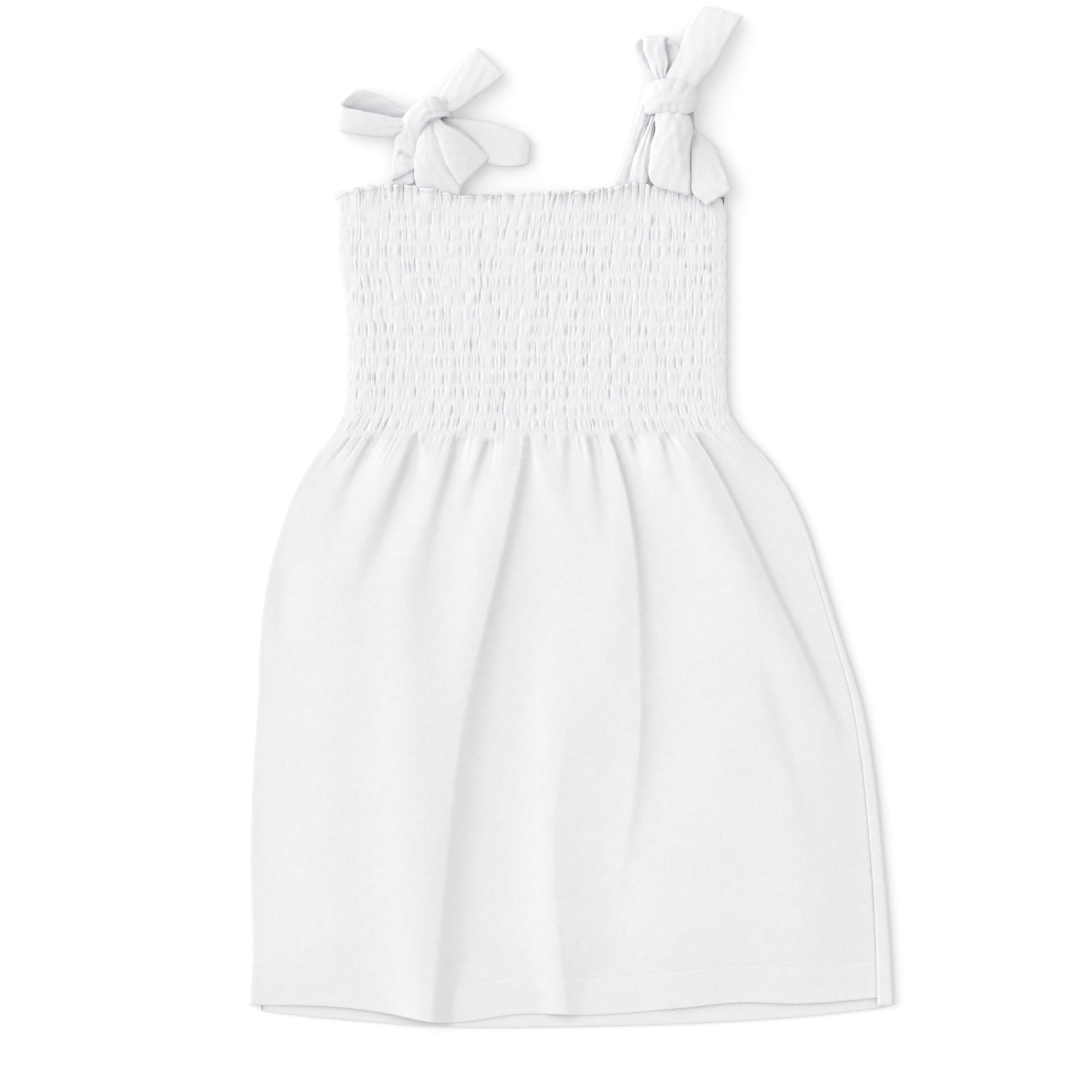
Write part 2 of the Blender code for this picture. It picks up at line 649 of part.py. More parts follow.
def build_knot(knot):
    """The lump of the knot, ridged by the turns of the tie that wraps it."""
    turn = math.radians(knot.turn)
    points = [(-1.0, 0.0, 0.0)]
    for i in range(1, KNOT_RINGS):
        polar = math.pi * i / KNOT_RINGS
        for j in range(KNOT_AROUND):
            angle = 2 * math.pi * j / KNOT_AROUND
            points.append((
                -math.cos(polar),
                math.sin(polar) * math.cos(angle),
                math.sin(polar) * math.sin(angle),
            ))
    points.append((1.0, 0.0, 0.0))
    placed = []
    for u, v, w in points:
        size = (abs(u) ** KNOT_SQUARENESS + abs(v) ** KNOT_SQUARENESS + abs(w) ** KNOT_SQUARENESS)
        wrap = 2 * math.pi * KNOT_WRAPS * (u + KNOT_SLANT * v)
        ridge = 1 - KNOT_RIDGE * (0.5 + 0.5 * math.cos(wrap))
        grow = ridge * size ** (-1 / KNOT_SQUARENESS)
        along, across = u * grow * knot.half_long, v * grow * knot.half_wide
        placed.append((
            knot.x + along * math.cos(turn) - across * math.sin(turn),
            knot.y + along * math.sin(turn) + across * math.cos(turn),
            knot.z + w * grow * knot.half_high,
        ))
    faces = []
    last = len(placed) - 1
    for j in range(KNOT_AROUND):
        k = (j + 1) % KNOT_AROUND
        faces.append((0, 1 + j, 1 + k))
        faces.append((last, last - KNOT_AROUND + k, last - KNOT_AROUND + j))
        for i in range(KNOT_RINGS - 2):
            a, b = 1 + i * KNOT_AROUND, 1 + (i + 1) * KNOT_AROUND
            faces.append((a + j, b + j, b + k, a + k))
    return make_object(knot.name, placed, faces, KNOT_WHITE)


def refined(rows):
    """The table's rows with smooth ones between them."""
    places = list(range(len(rows)))
    steps = (len(rows) - 1) * STRETCH_STEPS
    columns = list(zip(*rows))
    return [
        type(rows[0])(*(curve_through(places, column, i / STRETCH_STEPS) for column in columns))
        for i in range(steps + 1)
    ]


def headings(rows):
    """The direction from above in which the tie runs at each row."""
    result = []
    for i in range(len(rows)):
        before, after = rows[max(i - 1, 0)], rows[min(i + 1, len(rows) - 1)]
        result.append(math.atan2(after.y - before.y, after.x - before.x))
    return result


def ring(centre, heading, width, bank, crown):
    """The section of a tie, across its heading."""
    sine, cosine = math.sin(math.radians(bank)), math.cos(math.radians(bank))
    across = (math.sin(heading) * cosine, -math.cos(heading) * cosine, sine)
    up = (-math.sin(heading) * sine, math.cos(heading) * sine, cosine)
    points = []
    for wide, high in SECTION:
        s = wide * width / 2
        puff = crown * (1 - wide * wide) * (1 if high > 0 else UNDER_CROWN)
        lift = high * TIE / 2 + puff
        points.append(tuple(centre[i] + s * across[i] + lift * up[i] for i in range(3)))
    return points


def tube_faces(rings):
    faces = []
    count = len(SECTION)
    for r in range(rings - 1):
        for j in range(count):
            k = (j + 1) % count
            faces.append((r * count + j, r * count + k, (r + 1) * count + k, (r + 1) * count + j))
    for start in (0, (rings - 1) * count):
        faces += [tuple(start + j for j in face) for face in CAP]
    return faces


def seat_on_knot(points, knot, heading):
    """Slides a tie's end along its run until it stands one gap off the knot."""
    seated = []
    for x, y, z in points:
        slid = 0.0
        while knot_level(knot, (x, y, z), KNOT_GAP) > 1 and slid < MOST_SLIDE:
            x -= SLIDE_STEP * math.cos(heading)
            y -= SLIDE_STEP * math.sin(heading)
            slid += SLIDE_STEP
        while knot_level(knot, (x, y, z), KNOT_GAP) < 1:
            x += SLIDE_STEP * math.cos(heading)
            y += SLIDE_STEP * math.sin(heading)
        seated.append((x, y, z))
    return seated


def build_band(name, which, end, table):
    """A strap or a tail: one flat stretch of a tie."""
    rows = refined(table)
    turns = headings(rows)
    rings = []
    for number, (row, heading) in enumerate(zip(rows, turns)):
        points = ring((row.x, row.y, row.z), heading, row.width, row.bank, row.crown)
        if number == 0:
            points = seat_on_knot(points, KNOTS[which], heading)
        if number == len(rows) - 1:
            points = finish_end(points, row, heading, end)
        rings.append([(x, y, max(z, TABLE_CLEAR)) for x, y, z in points])
    return make_object(name, sum(rings, []), tube_faces(len(rings)), BAND_WHITE)


def finish_end(points, row, heading, end):
    """Seats a strap's end along the dress's top edge, or skews a tail's cut."""
    if end == "edge":
        return [(x, edge_y(TOP_EDGE, x) + RUFFLE_REACH + GAP, z) for x, _, z in points]
    skew = math.tan(math.radians(end))
    result = []
    for x, y, z in points:
        across = (x - row.x) * math.sin(heading) - (y - row.y) * math.cos(heading)
        result.append((x + across * skew * math.cos(heading), y + across * skew * math.sin(heading), z))
    return result


def build_loop(name, which, skew, table):
    """A loop of a bow: a tie that runs out, turns over and comes back above itself."""
    rows = refined(table)
    turns = headings(rows)
    lower, upper = [], []
    for row, heading in zip(rows, turns):
        sine, cosine = math.sin(math.radians(row.bank)), math.cos(math.radians(row.bank))
        up = (-math.sin(heading) * sine, math.cos(heading) * sine, cosine)
        reach = (row.open + TIE) / 2
        for sign, layers in ((-1, lower), (1, upper)):
            centre = tuple(place + sign * reach * up[i] for i, place in enumerate(row[:3]))
            layers.append(ring(centre, heading, row.width, row.bank, 0.0))
    lower[0] = seat_on_knot(lower[0], KNOTS[which], turns[0])
    upper[0] = seat_on_knot(upper[0], KNOTS[which], turns[0])
    turned = turn_over(rows[-1], turns[-1])
    # The upper layer is walked back to the knot, so its sections are turned upside down.
    back = [flipped(section) for section in reversed(upper)]
    rings = [skewed(section, rows[-1], turns[-1], skew, rows[0]) for section in lower + turned + back]
    rings = [[(x, y, max(z, TABLE_CLEAR)) for x, y, z in section] for section in rings]
    return make_object(name, sum(rings, []), tube_faces(len(rings)), LOOP_WHITE)


def turn_over(row, heading):
    """Sections round the folded end of a loop, between its lower and its upper layer."""
    sections = []
    reach = (row.open + TIE) / 2
    sine, cosine = math.sin(math.radians(row.bank)), math.cos(math.radians(row.bank))
    across = (math.sin(heading) * cosine, -math.cos(heading) * cosine, sine)
    up = (-math.sin(heading) * sine, math.cos(heading) * sine, cosine)
    out = (math.cos(heading), math.sin(heading), 0.0)
    for k in range(1, LOOP_TURN_STEPS):
        angle = math.pi * k / LOOP_TURN_STEPS
        normal = tuple(math.sin(angle) * out[i] - math.cos(angle) * up[i] for i in range(3))
        points = []
        for wide, high in SECTION:
            s = wide * row.width / 2
            away = reach - high * TIE / 2
            centre = (row.x, row.y, row.z)
            points.append(tuple(centre[i] + s * across[i] + away * normal[i] for i in range(3)))
        sections.append(points)
    return sections


def flipped(section):
    """The same section with its top and bottom exchanged, as the tie lies after it turns over."""
    return section[:1] + section[:0:-1]


def skewed(section, last, heading, degrees, first):
    """Slants a loop's folded end, leaving its knot end alone."""
    length = math.hypot(last.x - first.x, last.y - first.y)
    slope = math.tan(math.radians(degrees))
    result = []
    for x, y, z in section:
        along = (x - first.x) * math.cos(heading) + (y - first.y) * math.sin(heading)
        across = (x - last.x) * math.sin(heading) - (y - last.y) * math.cos(heading)
        shift = across * slope * smoothstep(SKEW_FROM, 1.0, along / length)
        result.append((x + shift * math.cos(heading), y + shift * math.sin(heading), z))
    return result


clear_scene()
build_back()
build_front()
for knot in KNOTS.values():
    build_knot(knot)
for band in BANDS:
    build_band(*band)
for loop in LOOPS:
    build_loop(*loop)
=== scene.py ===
import math

import bpy
import numpy as np
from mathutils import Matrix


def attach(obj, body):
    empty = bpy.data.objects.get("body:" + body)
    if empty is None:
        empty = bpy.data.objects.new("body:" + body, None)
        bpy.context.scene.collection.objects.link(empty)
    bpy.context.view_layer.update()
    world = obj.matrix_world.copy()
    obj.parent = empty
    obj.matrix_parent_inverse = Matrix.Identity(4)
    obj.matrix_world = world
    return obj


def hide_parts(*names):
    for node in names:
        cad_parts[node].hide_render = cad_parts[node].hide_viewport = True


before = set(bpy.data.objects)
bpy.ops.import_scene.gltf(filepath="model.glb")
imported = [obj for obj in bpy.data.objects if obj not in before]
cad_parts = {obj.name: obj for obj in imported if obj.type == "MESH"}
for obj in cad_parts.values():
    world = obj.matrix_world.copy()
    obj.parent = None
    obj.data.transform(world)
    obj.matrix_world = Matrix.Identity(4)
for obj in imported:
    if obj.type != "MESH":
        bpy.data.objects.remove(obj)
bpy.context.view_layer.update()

# Front of the bodice: the upper part of the front panel, in white cotton terry. Fifteen rows of elastic
# thread on its inside gather it, and above the highest row it is left free as a ruffle. All sizes are in
# millimetres; new_piece() makes metres of them.

WALL = 2.0  # one layer of terry
GAP = 0.3  # between the front and the back
TOP_OF_TWO = 2 * WALL + GAP  # height of the front's face where it lies flat on the back
TURN = TOP_OF_TWO / 2  # radius of the cloth round a side of the dress
UNDERLAP = 7.0  # from the left side in to the seam below
ROUND_STEPS = 9  # columns of points round a side

# The dress's outline down its sides, and how far in from the right its side seam lies
side_y, side_left, side_right, side_seam = np.array([
    (178.0, -124.0, 82.6, 1.9),
    (136.0, -123.8, 82.4, 1.9),
    (120.0, -121.6, 82.4, 1.9),
    (96.0, -119.8, 82.4, 1.9),
    (72.0, -119.6, 82.4, 1.9),
    (56.0, -121.3, 84.0, 1.9),
    (44.4, -127.2, 91.0, 2.6),
    (30.0, -138.2, 105.0, 3.6),
    (12.0, -148.2, 117.0, 4.2),
    (-8.0, -155.6, 126.0, 4.3),
    (-34.0, -162.4, 134.2, 4.2),
    (-65.0, -166.2, 143.9, 4.6),
    (-100.0, -167.6, 154.8, 6.0),
    (-140.0, -170.2, 161.6, 7.0),
    (-185.0, -171.4, 166.2, 7.8),
    (-225.0, -170.2, 169.4, 8.6),
    (-262.0, -171.5, 171.5, 9.5),
]).T
# Its top edge, without the curls
top_x, top_y = np.array([
    (-126.0, 166.5), (-113.0, 174.0), (-84.0, 173.8), (-66.0, 171.0), (-50.0, 169.8), (-10.0, 170.6),
    (16.0, 173.2), (38.0, 176.4), (52.0, 174.2), (61.0, 171.0), (70.0, 168.8), (84.0, 170.0),
]).T

THREADS = 15
THREAD_TOP = 162.0  # the highest thread's y
THREAD_PITCH = 8.4
WAIST = THREAD_TOP - (THREADS - 1) * THREAD_PITCH
GATHERS = 40  # across the front, and as many across the back
SPARE = 6  # rows of gathers that run on past the threads, above and below
chance = np.random.default_rng(15)


def curve(places, values, at):
    """A smooth curve through a table's values, read at many places."""
    if places[0] > places[-1]:
        places, values = places[::-1], values[::-1]
    slope = np.gradient(values, places)
    slope[1:-1] = (values[2:] - values[:-2]) / (places[2:] - places[:-2])
    at = np.clip(at, places[0], places[-1])
    k = np.clip(np.searchsorted(places, at, side="right") - 1, 0, len(places) - 2)
    span = places[k + 1] - places[k]
    t = (at - places[k]) / span
    return (
        (1 + 2 * t) * (1 - t) ** 2 * values[k] + t * (1 - t) ** 2 * span * slope[k]
        + t * t * (3 - 2 * t) * values[k + 1] + t * t * (t - 1) * span * slope[k + 1]
    )


def ease(low, high, value):
    """From 0 where a value is low to 1 where it is high, smoothly. Low may be the larger of the two."""
    t = np.clip((value - low) / (high - low), 0, 1)
    return t * t * (3 - 2 * t)


def wavering(rows, columns, calm):
    """Noise from -1 to 1 that changes slowly down each column."""
    noise = chance.uniform(-1, 1, (rows + 2 * calm, columns))
    weights = np.hanning(2 * calm + 3)[1:-1]
    weights /= np.sqrt((weights**2).sum())
    calmed = [(noise[r:r + 2 * calm + 1] * weights[:, None]).sum(0) for r in range(rows)]
    return np.clip(np.array(calmed), -1.6, 1.6)


# Where each slit between two gathers runs, as a share of the front's width, from thread to thread. The slits
# wander a little in the ruffle, and below the lowest thread they run straight on.
slit_threads = np.arange(-SPARE, THREADS + SPARE)
slit_place = np.arange(GATHERS + 1) + 0.2 * chance.uniform(-1, 1, GATHERS + 1)
slit_place = slit_place + 0.24 * wavering(len(slit_threads), GATHERS + 1, 2)
slit_place += 0.2 * chance.uniform(-1, 1, (len(slit_threads), GATHERS + 1))
slit_place[:SPARE] = slit_place[SPARE] + 0.3 * chance.uniform(-1, 1, GATHERS + 1)
slit_place[SPARE + THREADS - 1:] = slit_place[SPARE + THREADS - 2]
slit_place[:, 0], slit_place[:, -1] = 0, GATHERS
slit_place = np.sort(slit_place, axis=1) / GATHERS
# How high each gather stands at a thread and between two threads
at_thread = 1.15 + 0.12 * chance.uniform(-1, 1, (len(slit_threads), GATHERS))
puff = 1.4 + 0.16 * chance.uniform(-1, 1, (len(slit_threads), GATHERS))
puff += 0.12 * wavering(len(slit_threads), GATHERS, 2)
# How deep each slit is, and where between two threads it starts and stops
slit_deep = 0.3 + 0.95 * chance.uniform(0, 1, (len(slit_threads), GATHERS + 1)) ** 1.4
slit_start = chance.uniform(-0.12, 0.3, (len(slit_threads), GATHERS + 1))
slit_stop = 1 - chance.uniform(-0.12, 0.3, (len(slit_threads), GATHERS + 1))
# Some gathers have a smaller slit of their own, somewhere from a third to two thirds of the way across.
half_slit = np.clip(chance.uniform(-0.3, 0.8, (len(slit_threads), GATHERS)), 0, None)
half_place = chance.uniform(0.32, 0.68, (len(slit_threads), GATHERS))
# Small ridges of pile that stand up along the gathers
RIDGES = 4
ridge = chance.uniform(-1, 1, (len(slit_threads), GATHERS * RIDGES + 2))


def table_at(table, row, column):
    """A table's values between its rows, at whole columns."""
    row = np.clip(row, 0, len(table) - 1.001)
    r = row.astype(int)
    t = row - r
    return table[r, column] * (1 - t) + table[r + 1, column] * t


def gather_share(cell, thread):
    """How far across the front a place in a gather lies, from 0 at its left to 1 at its right."""
    j = np.clip(cell.astype(int), 0, GATHERS - 1)
    u = cell - j
    row = thread + SPARE - 0.5
    row = np.floor(row) + ease(0.25, 0.75, row - np.floor(row))
    return table_at(slit_place, row, j) * (1 - u) + table_at(slit_place, row, j + 1) * u


def gather_rise(cell, thread, puffed=1.0):
    """How far the gathers stand above the plain cloth. Puffed is how full they are between two threads."""
    j = np.clip(cell.astype(int), 0, GATHERS - 1)
    u = cell - j
    band = np.floor(thread).astype(int) + SPARE
    t = thread - np.floor(thread)
    swell = np.sin(np.pi * t)

    def crest(column):
        column = np.clip(column, 0, GATHERS - 1)
        tied = table_at(at_thread, thread + SPARE, column)
        return tied + (puff[band, column] * puffed - tied) * swell

    middle = crest(j)
    at_left, at_right = (crest(j - 1) + middle) / 2, (middle + crest(j + 1)) / 2
    beside = np.where(u < 0.5, at_left, at_right)
    near = np.minimum(u, 1 - u)
    high = middle + (beside - middle) * (1 - 2 * near) ** 2
    column = np.where(u < 0.5, j, j + 1)
    start, stop = slit_start[band, column], slit_stop[band, column]
    opened = np.sin(np.pi * np.clip((t - start) / (stop - start), 0, 1)) ** 0.8
    slit = slit_deep[band, column] * opened * np.exp(-((near / (0.05 + 0.06 * opened)) ** 1.6))
    half = half_slit[band, j] * swell**2 * np.exp(-((abs(u - half_place[band, j]) / 0.08) ** 1.6))
    r = np.floor(cell * RIDGES).astype(int)
    across = cell * RIDGES - r
    across = across * across * (3 - 2 * across)
    pile = ridge[band, r] * (1 - across) + ridge[band, r + 1] * across
    return high - slit - half + 0.15 * pile * (0.2 + 0.8 * swell)


def bodice_lean(x, y):
    """How far the gathers lean to the right towards the top edge."""
    up = np.maximum(y - 96.0, 0.0)
    return up * (0.15 * np.exp(-(((x + 24) / 34) ** 2)) + 0.05 * ease(-10, 40, x)) * ease(84, 40, x)


def tie_patch(x, y):
    """Less than 1 where a tie's sewn end holds the bodice flatter. Each patch: its centre and half size."""
    free = np.ones_like(x)
    for px, py, wide, high in ((-58.0, 161.5, 13.0, 6.5), (39.0, 164.0, 14.0, 5.5)):
        away = np.maximum(abs(x - px) / wide, abs(y - py) / high)
        free = np.minimum(free, 0.45 + 0.55 * ease(0.65, 1.35, away))
    return free


def front_place(cell, y):
    """x of a place in the front, between the turned left side and the right seam."""
    left = curve(side_y, side_left, y) + TURN
    right = curve(side_y, side_right, y) - curve(side_y, side_seam, y)
    x = left + (right - left) * gather_share(cell, (THREAD_TOP - y) / THREAD_PITCH)
    return x + bodice_lean(x, y)


def side_bulge(y):
    """How far a side stands out between two threads."""
    thread = (THREAD_TOP - y) / THREAD_PITCH
    return 0.7 * np.abs(np.sin(np.pi * np.clip(thread, 0, THREADS - 1)))


# The strip below the left side: how far each column lies in from the seam, and how high
UNDER_LEFT = ((0.0, 1.4), (0.0, 0.5), (0.5, 0.0), (2.4, 0.0))


def round_left(front):
    """Columns from the seam under the dress, out and round its left side, up to the front's first column."""
    x, y, z = front[:, 0].T
    bulge = side_bulge(y)
    seam = x + UNDERLAP - TURN
    columns = [(seam - inward, y, np.full_like(y, up)) for inward, up in UNDER_LEFT]
    half = z / 2
    for k in range(ROUND_STEPS):
        angle = -math.pi / 2 + math.pi * k / ROUND_STEPS
        columns.append((x - (TURN + bulge) * math.cos(angle), y, half + half * math.sin(angle)))
    return np.stack([np.stack(column, axis=-1) for column in columns], axis=1)


def right_seam(front, deep):
    """Two columns that turn the front's right edge down into the seam, the first by how deep that is."""
    edge = front[:, -1:, :] + np.array([[[0.15, 0.0, 0.0]]])
    edge[:, 0, 2] -= deep
    return edge, front[:, -1:, :] + np.array([[[0.2, 0.0, -1.0]]])


def new_piece(name, points, faces, finish):
    """A piece of the dress from its points in millimetres."""
    mesh = bpy.data.meshes.new(name)
    mesh.from_pydata((points / 1000).tolist(), [], faces)
    mesh.shade_smooth()
    mesh.materials.append(finish)
    piece = bpy.data.objects.new(name, mesh)
    bpy.context.scene.collection.objects.link(piece)
    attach(piece, "root")
    return piece


def cloth(name, grid, finish):
    """A cloth piece from a grid of points: rows run down the dress and columns to the right."""
    rows, columns = grid.shape[:2]
    corner = np.arange(rows * columns).reshape(rows, columns)
    faces = np.stack([corner[:-1, :-1], corner[1:, :-1], corner[1:, 1:], corner[:-1, 1:]], axis=-1)
    return new_piece(name, grid.reshape(-1, 3), faces.reshape(-1, 4).tolist(), finish)


class Pile:
    """A value that varies over the cloth. Sums with it add the Math nodes of its material."""

    def __init__(self, recipe, socket):
        self.recipe, self.socket = recipe, socket

    def sum(self, operation, first, second):
        return self.recipe.node("ShaderNodeMath", {"operation": operation}, {0: first, 1: second})

    def __add__(self, other):
        return self.sum("ADD", self, other)

    def __radd__(self, other):
        return self.sum("ADD", other, self)

    def __sub__(self, other):
        return self.sum("SUBTRACT", self, other)

    def __rsub__(self, other):
        return self.sum("SUBTRACT", other, self)

    def __mul__(self, other):
        return self.sum("MULTIPLY", self, other)

    def __rmul__(self, other):
        return self.sum("MULTIPLY", other, self)


class Finish:
    """One material, and the nodes that make it."""

    def __init__(self, name, roughness, sheen):
        self.material = bpy.data.materials.new(name)
        self.material.use_nodes = True
        self.tree = self.material.node_tree
        self.shader = self.tree.nodes["Principled BSDF"]
        self.shader.inputs["Roughness"].default_value = roughness
        self.shader.inputs["Sheen Weight"].default_value = sheen
        self.shader.inputs["Sheen Roughness"].default_value = 0.6
        self.shader.inputs["Specular IOR Level"].default_value = 0.2

    def node(self, kind, settings, inputs, output=0):
        made = self.tree.nodes.new(kind)
        for name, value in settings.items():
            setattr(made, name, value)
        for name, value in inputs.items():
            if isinstance(value, Pile):
                self.tree.links.new(value.socket, made.inputs[name])
            else:
                made.inputs[name].default_value = value
        return Pile(self, made.outputs[output])

    def feed(self, name, value):
        self.tree.links.new(value.socket, self.shader.inputs[name])


def terry(name, light, shade, streaks, depth):
    """White cotton terry: short loops in a soft, slightly matted pile. Streaks draw them out along +Y, as
    where the cloth is gathered. Depth is how strongly the pile shades itself."""
    finish = Finish(name, roughness=0.95, sheen=0.12)
    place = finish.node("ShaderNodeTexCoord", {}, {}, "Object")
    stray = finish.node("ShaderNodeTexNoise", {}, {"Vector": place, "Scale": 700.0, "Detail": 2.0}, "Color")
    sway = (0.0011, 0.0011, 0.0011)
    swayed = finish.node("ShaderNodeVectorMath", {"operation": "MULTIPLY_ADD"}, {0: stray, 1: sway, 2: place})
    loops = finish.node(
        "ShaderNodeTexVoronoi", {"feature": "SMOOTH_F1"},
        {"Vector": swayed, "Scale": 760.0, "Smoothness": 0.6}, "Distance")
    fuzz = finish.node(
        "ShaderNodeTexNoise", {}, {"Vector": place, "Scale": 1900.0, "Detail": 3.0, "Roughness": 0.65})
    nap = finish.node(
        "ShaderNodeTexNoise", {}, {"Vector": place, "Scale": 210.0, "Detail": 4.0, "Roughness": 0.6})
    pile = (1.0 - loops) * 0.38 + fuzz * 0.5 + nap * 1.0
    if streaks:
        drawn = finish.node("ShaderNodeMapping", {}, {"Vector": swayed, "Scale": (1.0, 0.17, 1.0)})
        ribs = finish.node(
            "ShaderNodeTexNoise", {}, {"Vector": drawn, "Scale": 820.0, "Detail": 2.0, "Roughness": 0.5})
        pile = pile + ribs * streaks
    # The colour follows the pile's height and is darker where the pile lies low. This is partly the pile's
    # own uneven tone and partly painted shade in its low places.
    tone_and_painted_shade = finish.node(
        "ShaderNodeMapRange", {}, {"Value": nap * 0.7 + fuzz * 0.3, "From Min": 0.3, "From Max": 0.7})
    # A colour Mix node has its two colours at inputs 6 and 7, and its result at output 2.
    colour = finish.node(
        "ShaderNodeMix", {"data_type": "RGBA"}, {"Factor": tone_and_painted_shade, 6: (*shade, 1.0), 7: (*light, 1.0)}, 2)
    normal = finish.node("ShaderNodeBump", {}, {"Strength": depth, "Distance": 0.0006, "Height": pile})
    finish.feed("Base Color", colour)
    finish.feed("Normal", normal)
    return finish.material


# Each terry gets a light white and a darker shade white. The shade white is partly the pile's own tone and
# partly painted shade in its low places.
PLAIN, PLAIN_SHADE = (0.715, 0.717, 0.734), (0.68, 0.682, 0.697)  # the white of the cloth where it lies plain
front_terry = terry("front_terry", PLAIN, PLAIN_SHADE, streaks=0.0, depth=0.4)
shirred_terry = terry("shirred_terry", (0.74, 0.742, 0.76), (0.695, 0.697, 0.712), streaks=1.7, depth=0.55)

# Columns stand closer together near each slit. From a thread to the next there are eleven rows.
cell_steps = np.array([0.0, 0.04, 0.09, 0.16, 0.25, 0.35, 0.45, 0.55, 0.65, 0.75, 0.84, 0.91, 0.96])
bodice_cells = np.append((np.arange(GATHERS)[:, None] + cell_steps).ravel(), GATHERS - 1e-6)
band_steps = np.array([0.0, 0.09, 0.18, 0.27, 0.36, 0.45, 0.55, 0.64, 0.73, 0.82, 0.91])
bodice_threads = np.append((np.arange(THREADS - 1)[:, None] + band_steps).ravel(), THREADS - 1)
RUFFLE_ROWS = 19
CORNER = 2.2  # how far the ruffle's left corner sticks out past the side


def side_hold(cell):
    """Share of a gather's height that is left near the dress's sides."""
    return 0.45 + 0.55 * ease(0.0, 1.2, cell) * ease(GATHERS, GATHERS - 1.2, cell)


def bodice_row(thread):
    """A row of the gathers, from 0 at the highest thread to the last one at the waist."""
    cell = bodice_cells
    y = np.full_like(cell, THREAD_TOP - thread * THREAD_PITCH)
    x = front_place(cell, y)
    free = tie_patch(x, y) * side_hold(cell)
    return x, y, TOP_OF_TWO + free * gather_rise(cell, np.full_like(cell, thread))


# The ruffle's curls: where each starts, how large it is, and how far it stands out
CURLS = 52
curl_place = np.cumsum(chance.uniform(0.35, 1.8, CURLS))
curl_place = (curl_place - curl_place[0]) / (curl_place[-1] - curl_place[0]) * GATHERS
curl_size = chance.uniform(0.1, 1.4, CURLS)
curl_out = 1.1 * wavering(CURLS, 1, 1)[:, 0] + 1.0 * chance.uniform(-1, 1, CURLS)
edge_pile = 0.4 * wavering(len(bodice_cells), 1, 2)[:, 0]


def ruffle_row(share):
    """A row of the ruffle, from 0 at the highest thread to 1 at its rolled and curling edge."""
    cell = bodice_cells
    k = np.clip(np.searchsorted(curl_place, cell, side="right") - 1, 0, CURLS - 2)
    u = (cell - curl_place[k]) / (curl_place[k + 1] - curl_place[k])
    curl = np.sin(np.pi * np.clip(u, 0, 1)) ** 0.6
    size = curl_size[k]
    x = front_place(cell, np.full_like(cell, THREAD_TOP))
    out = np.interp(cell, curl_place, curl_out)
    edge = curve(top_x, top_y, x) + out + 1.1 * size * (curl - 0.7) + edge_pile
    y = THREAD_TOP + (edge - THREAD_TOP) * share
    aside = size * (u - 0.5) * (1 - u) * 2 + 0.5 * np.sin(2.3 * cell)
    x = front_place(cell, y) + 1.5 * share**2 * aside
    x = x - CORNER * share**1.6 * ease(2.0, 0.0, cell)
    free = tie_patch(x, y) * side_hold(cell)
    thread = np.full_like(cell, -0.02 - 0.5 * share)
    rise = gather_rise(cell, thread, 0.95) * (1 - 0.25 * share)
    bead = 0.9 * np.sqrt(np.clip(1 - ((share - 0.93) / 0.09) ** 2, 0, 1)) * (0.5 + 0.5 * curl * size)
    fan = 1.8 * share**2 * size * curl
    z = TOP_OF_TWO + free * rise + (bead + fan) * (0.6 + 0.4 * free) - 1.5 * share**3 * (1 - curl) * size
    return x, y, z


rows = []
for share in 1 - np.linspace(0, 1, RUFFLE_ROWS, endpoint=False) ** 1.4:
    rows.append(np.stack(ruffle_row(share), axis=-1))
edge_row = rows[0].copy()
# The ruffle's edge curls over its own thickness, and the cloth goes on down inside it. Beside the side seams
# it is drawn down to the back.
by_seam = np.maximum(ease(2.2, 0.8, bodice_cells), ease(GATHERS - 2.2, GATHERS - 0.8, bodice_cells))
CLEAR = 0.15  # between the inside's lowest points and the back
inside = []
# Each row of it: how far the cloth has turned over, how far behind the edge it is, and the highest it may lie
for turn, back, highest in (
    (1.0, 9.0, 2.6), (1.0, 4.0, 3.0), (1.0, 1.2, 4.2), (0.8, 0.25, 9.0), (0.5, -0.15, 9.0), (0.2, -0.1, 9.0),
):
    row = edge_row.copy()
    row[:, 0] += (CORNER + 1.2) * ease(2.0, 0.0, bodice_cells) * np.clip(back / 4, 0, 1)
    row[:, 1] -= back
    row[:, 2] = np.clip(row[:, 2] - 1.6 * turn, WALL + CLEAR, highest)
    if turn == 1.0:
        row[:, 2] -= (row[:, 2] - WALL - CLEAR) * by_seam
    inside.append(row)
rows = inside + rows
for thread in bodice_threads:
    rows.append(np.stack(bodice_row(thread), axis=-1))
grid = np.array(rows)
grid = np.concatenate([round_left(grid), grid, *right_seam(grid, 0.2)], axis=1)
bodice_front = cloth("bodice_front", grid, shirred_terry)
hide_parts("front")

# Front of the skirt: the same panel below the lowest thread, falling in loose folds to a turned hem. The
# folds were pressed by the way the dress was laid down. It turns under at the left side to its seam.

front_hem_x, front_hem_y = np.array([
    (-172.0, -258.2), (-130.0, -258.8), (-101.0, -262.0), (-74.0, -267.0), (-58.0, -267.3), (-27.0, -263.0),
    (13.0, -263.4), (58.0, -259.8), (90.0, -256.8), (123.0, -257.4), (172.0, -253.5),
]).T
SKIRT_LONG = 307.0  # roughly, from waist to hem
SKIRT_LOFT = 3.4  # how far the skirt's front swells above the two layers
SKIRT_CREST = 8.5  # highest fold above the two layers
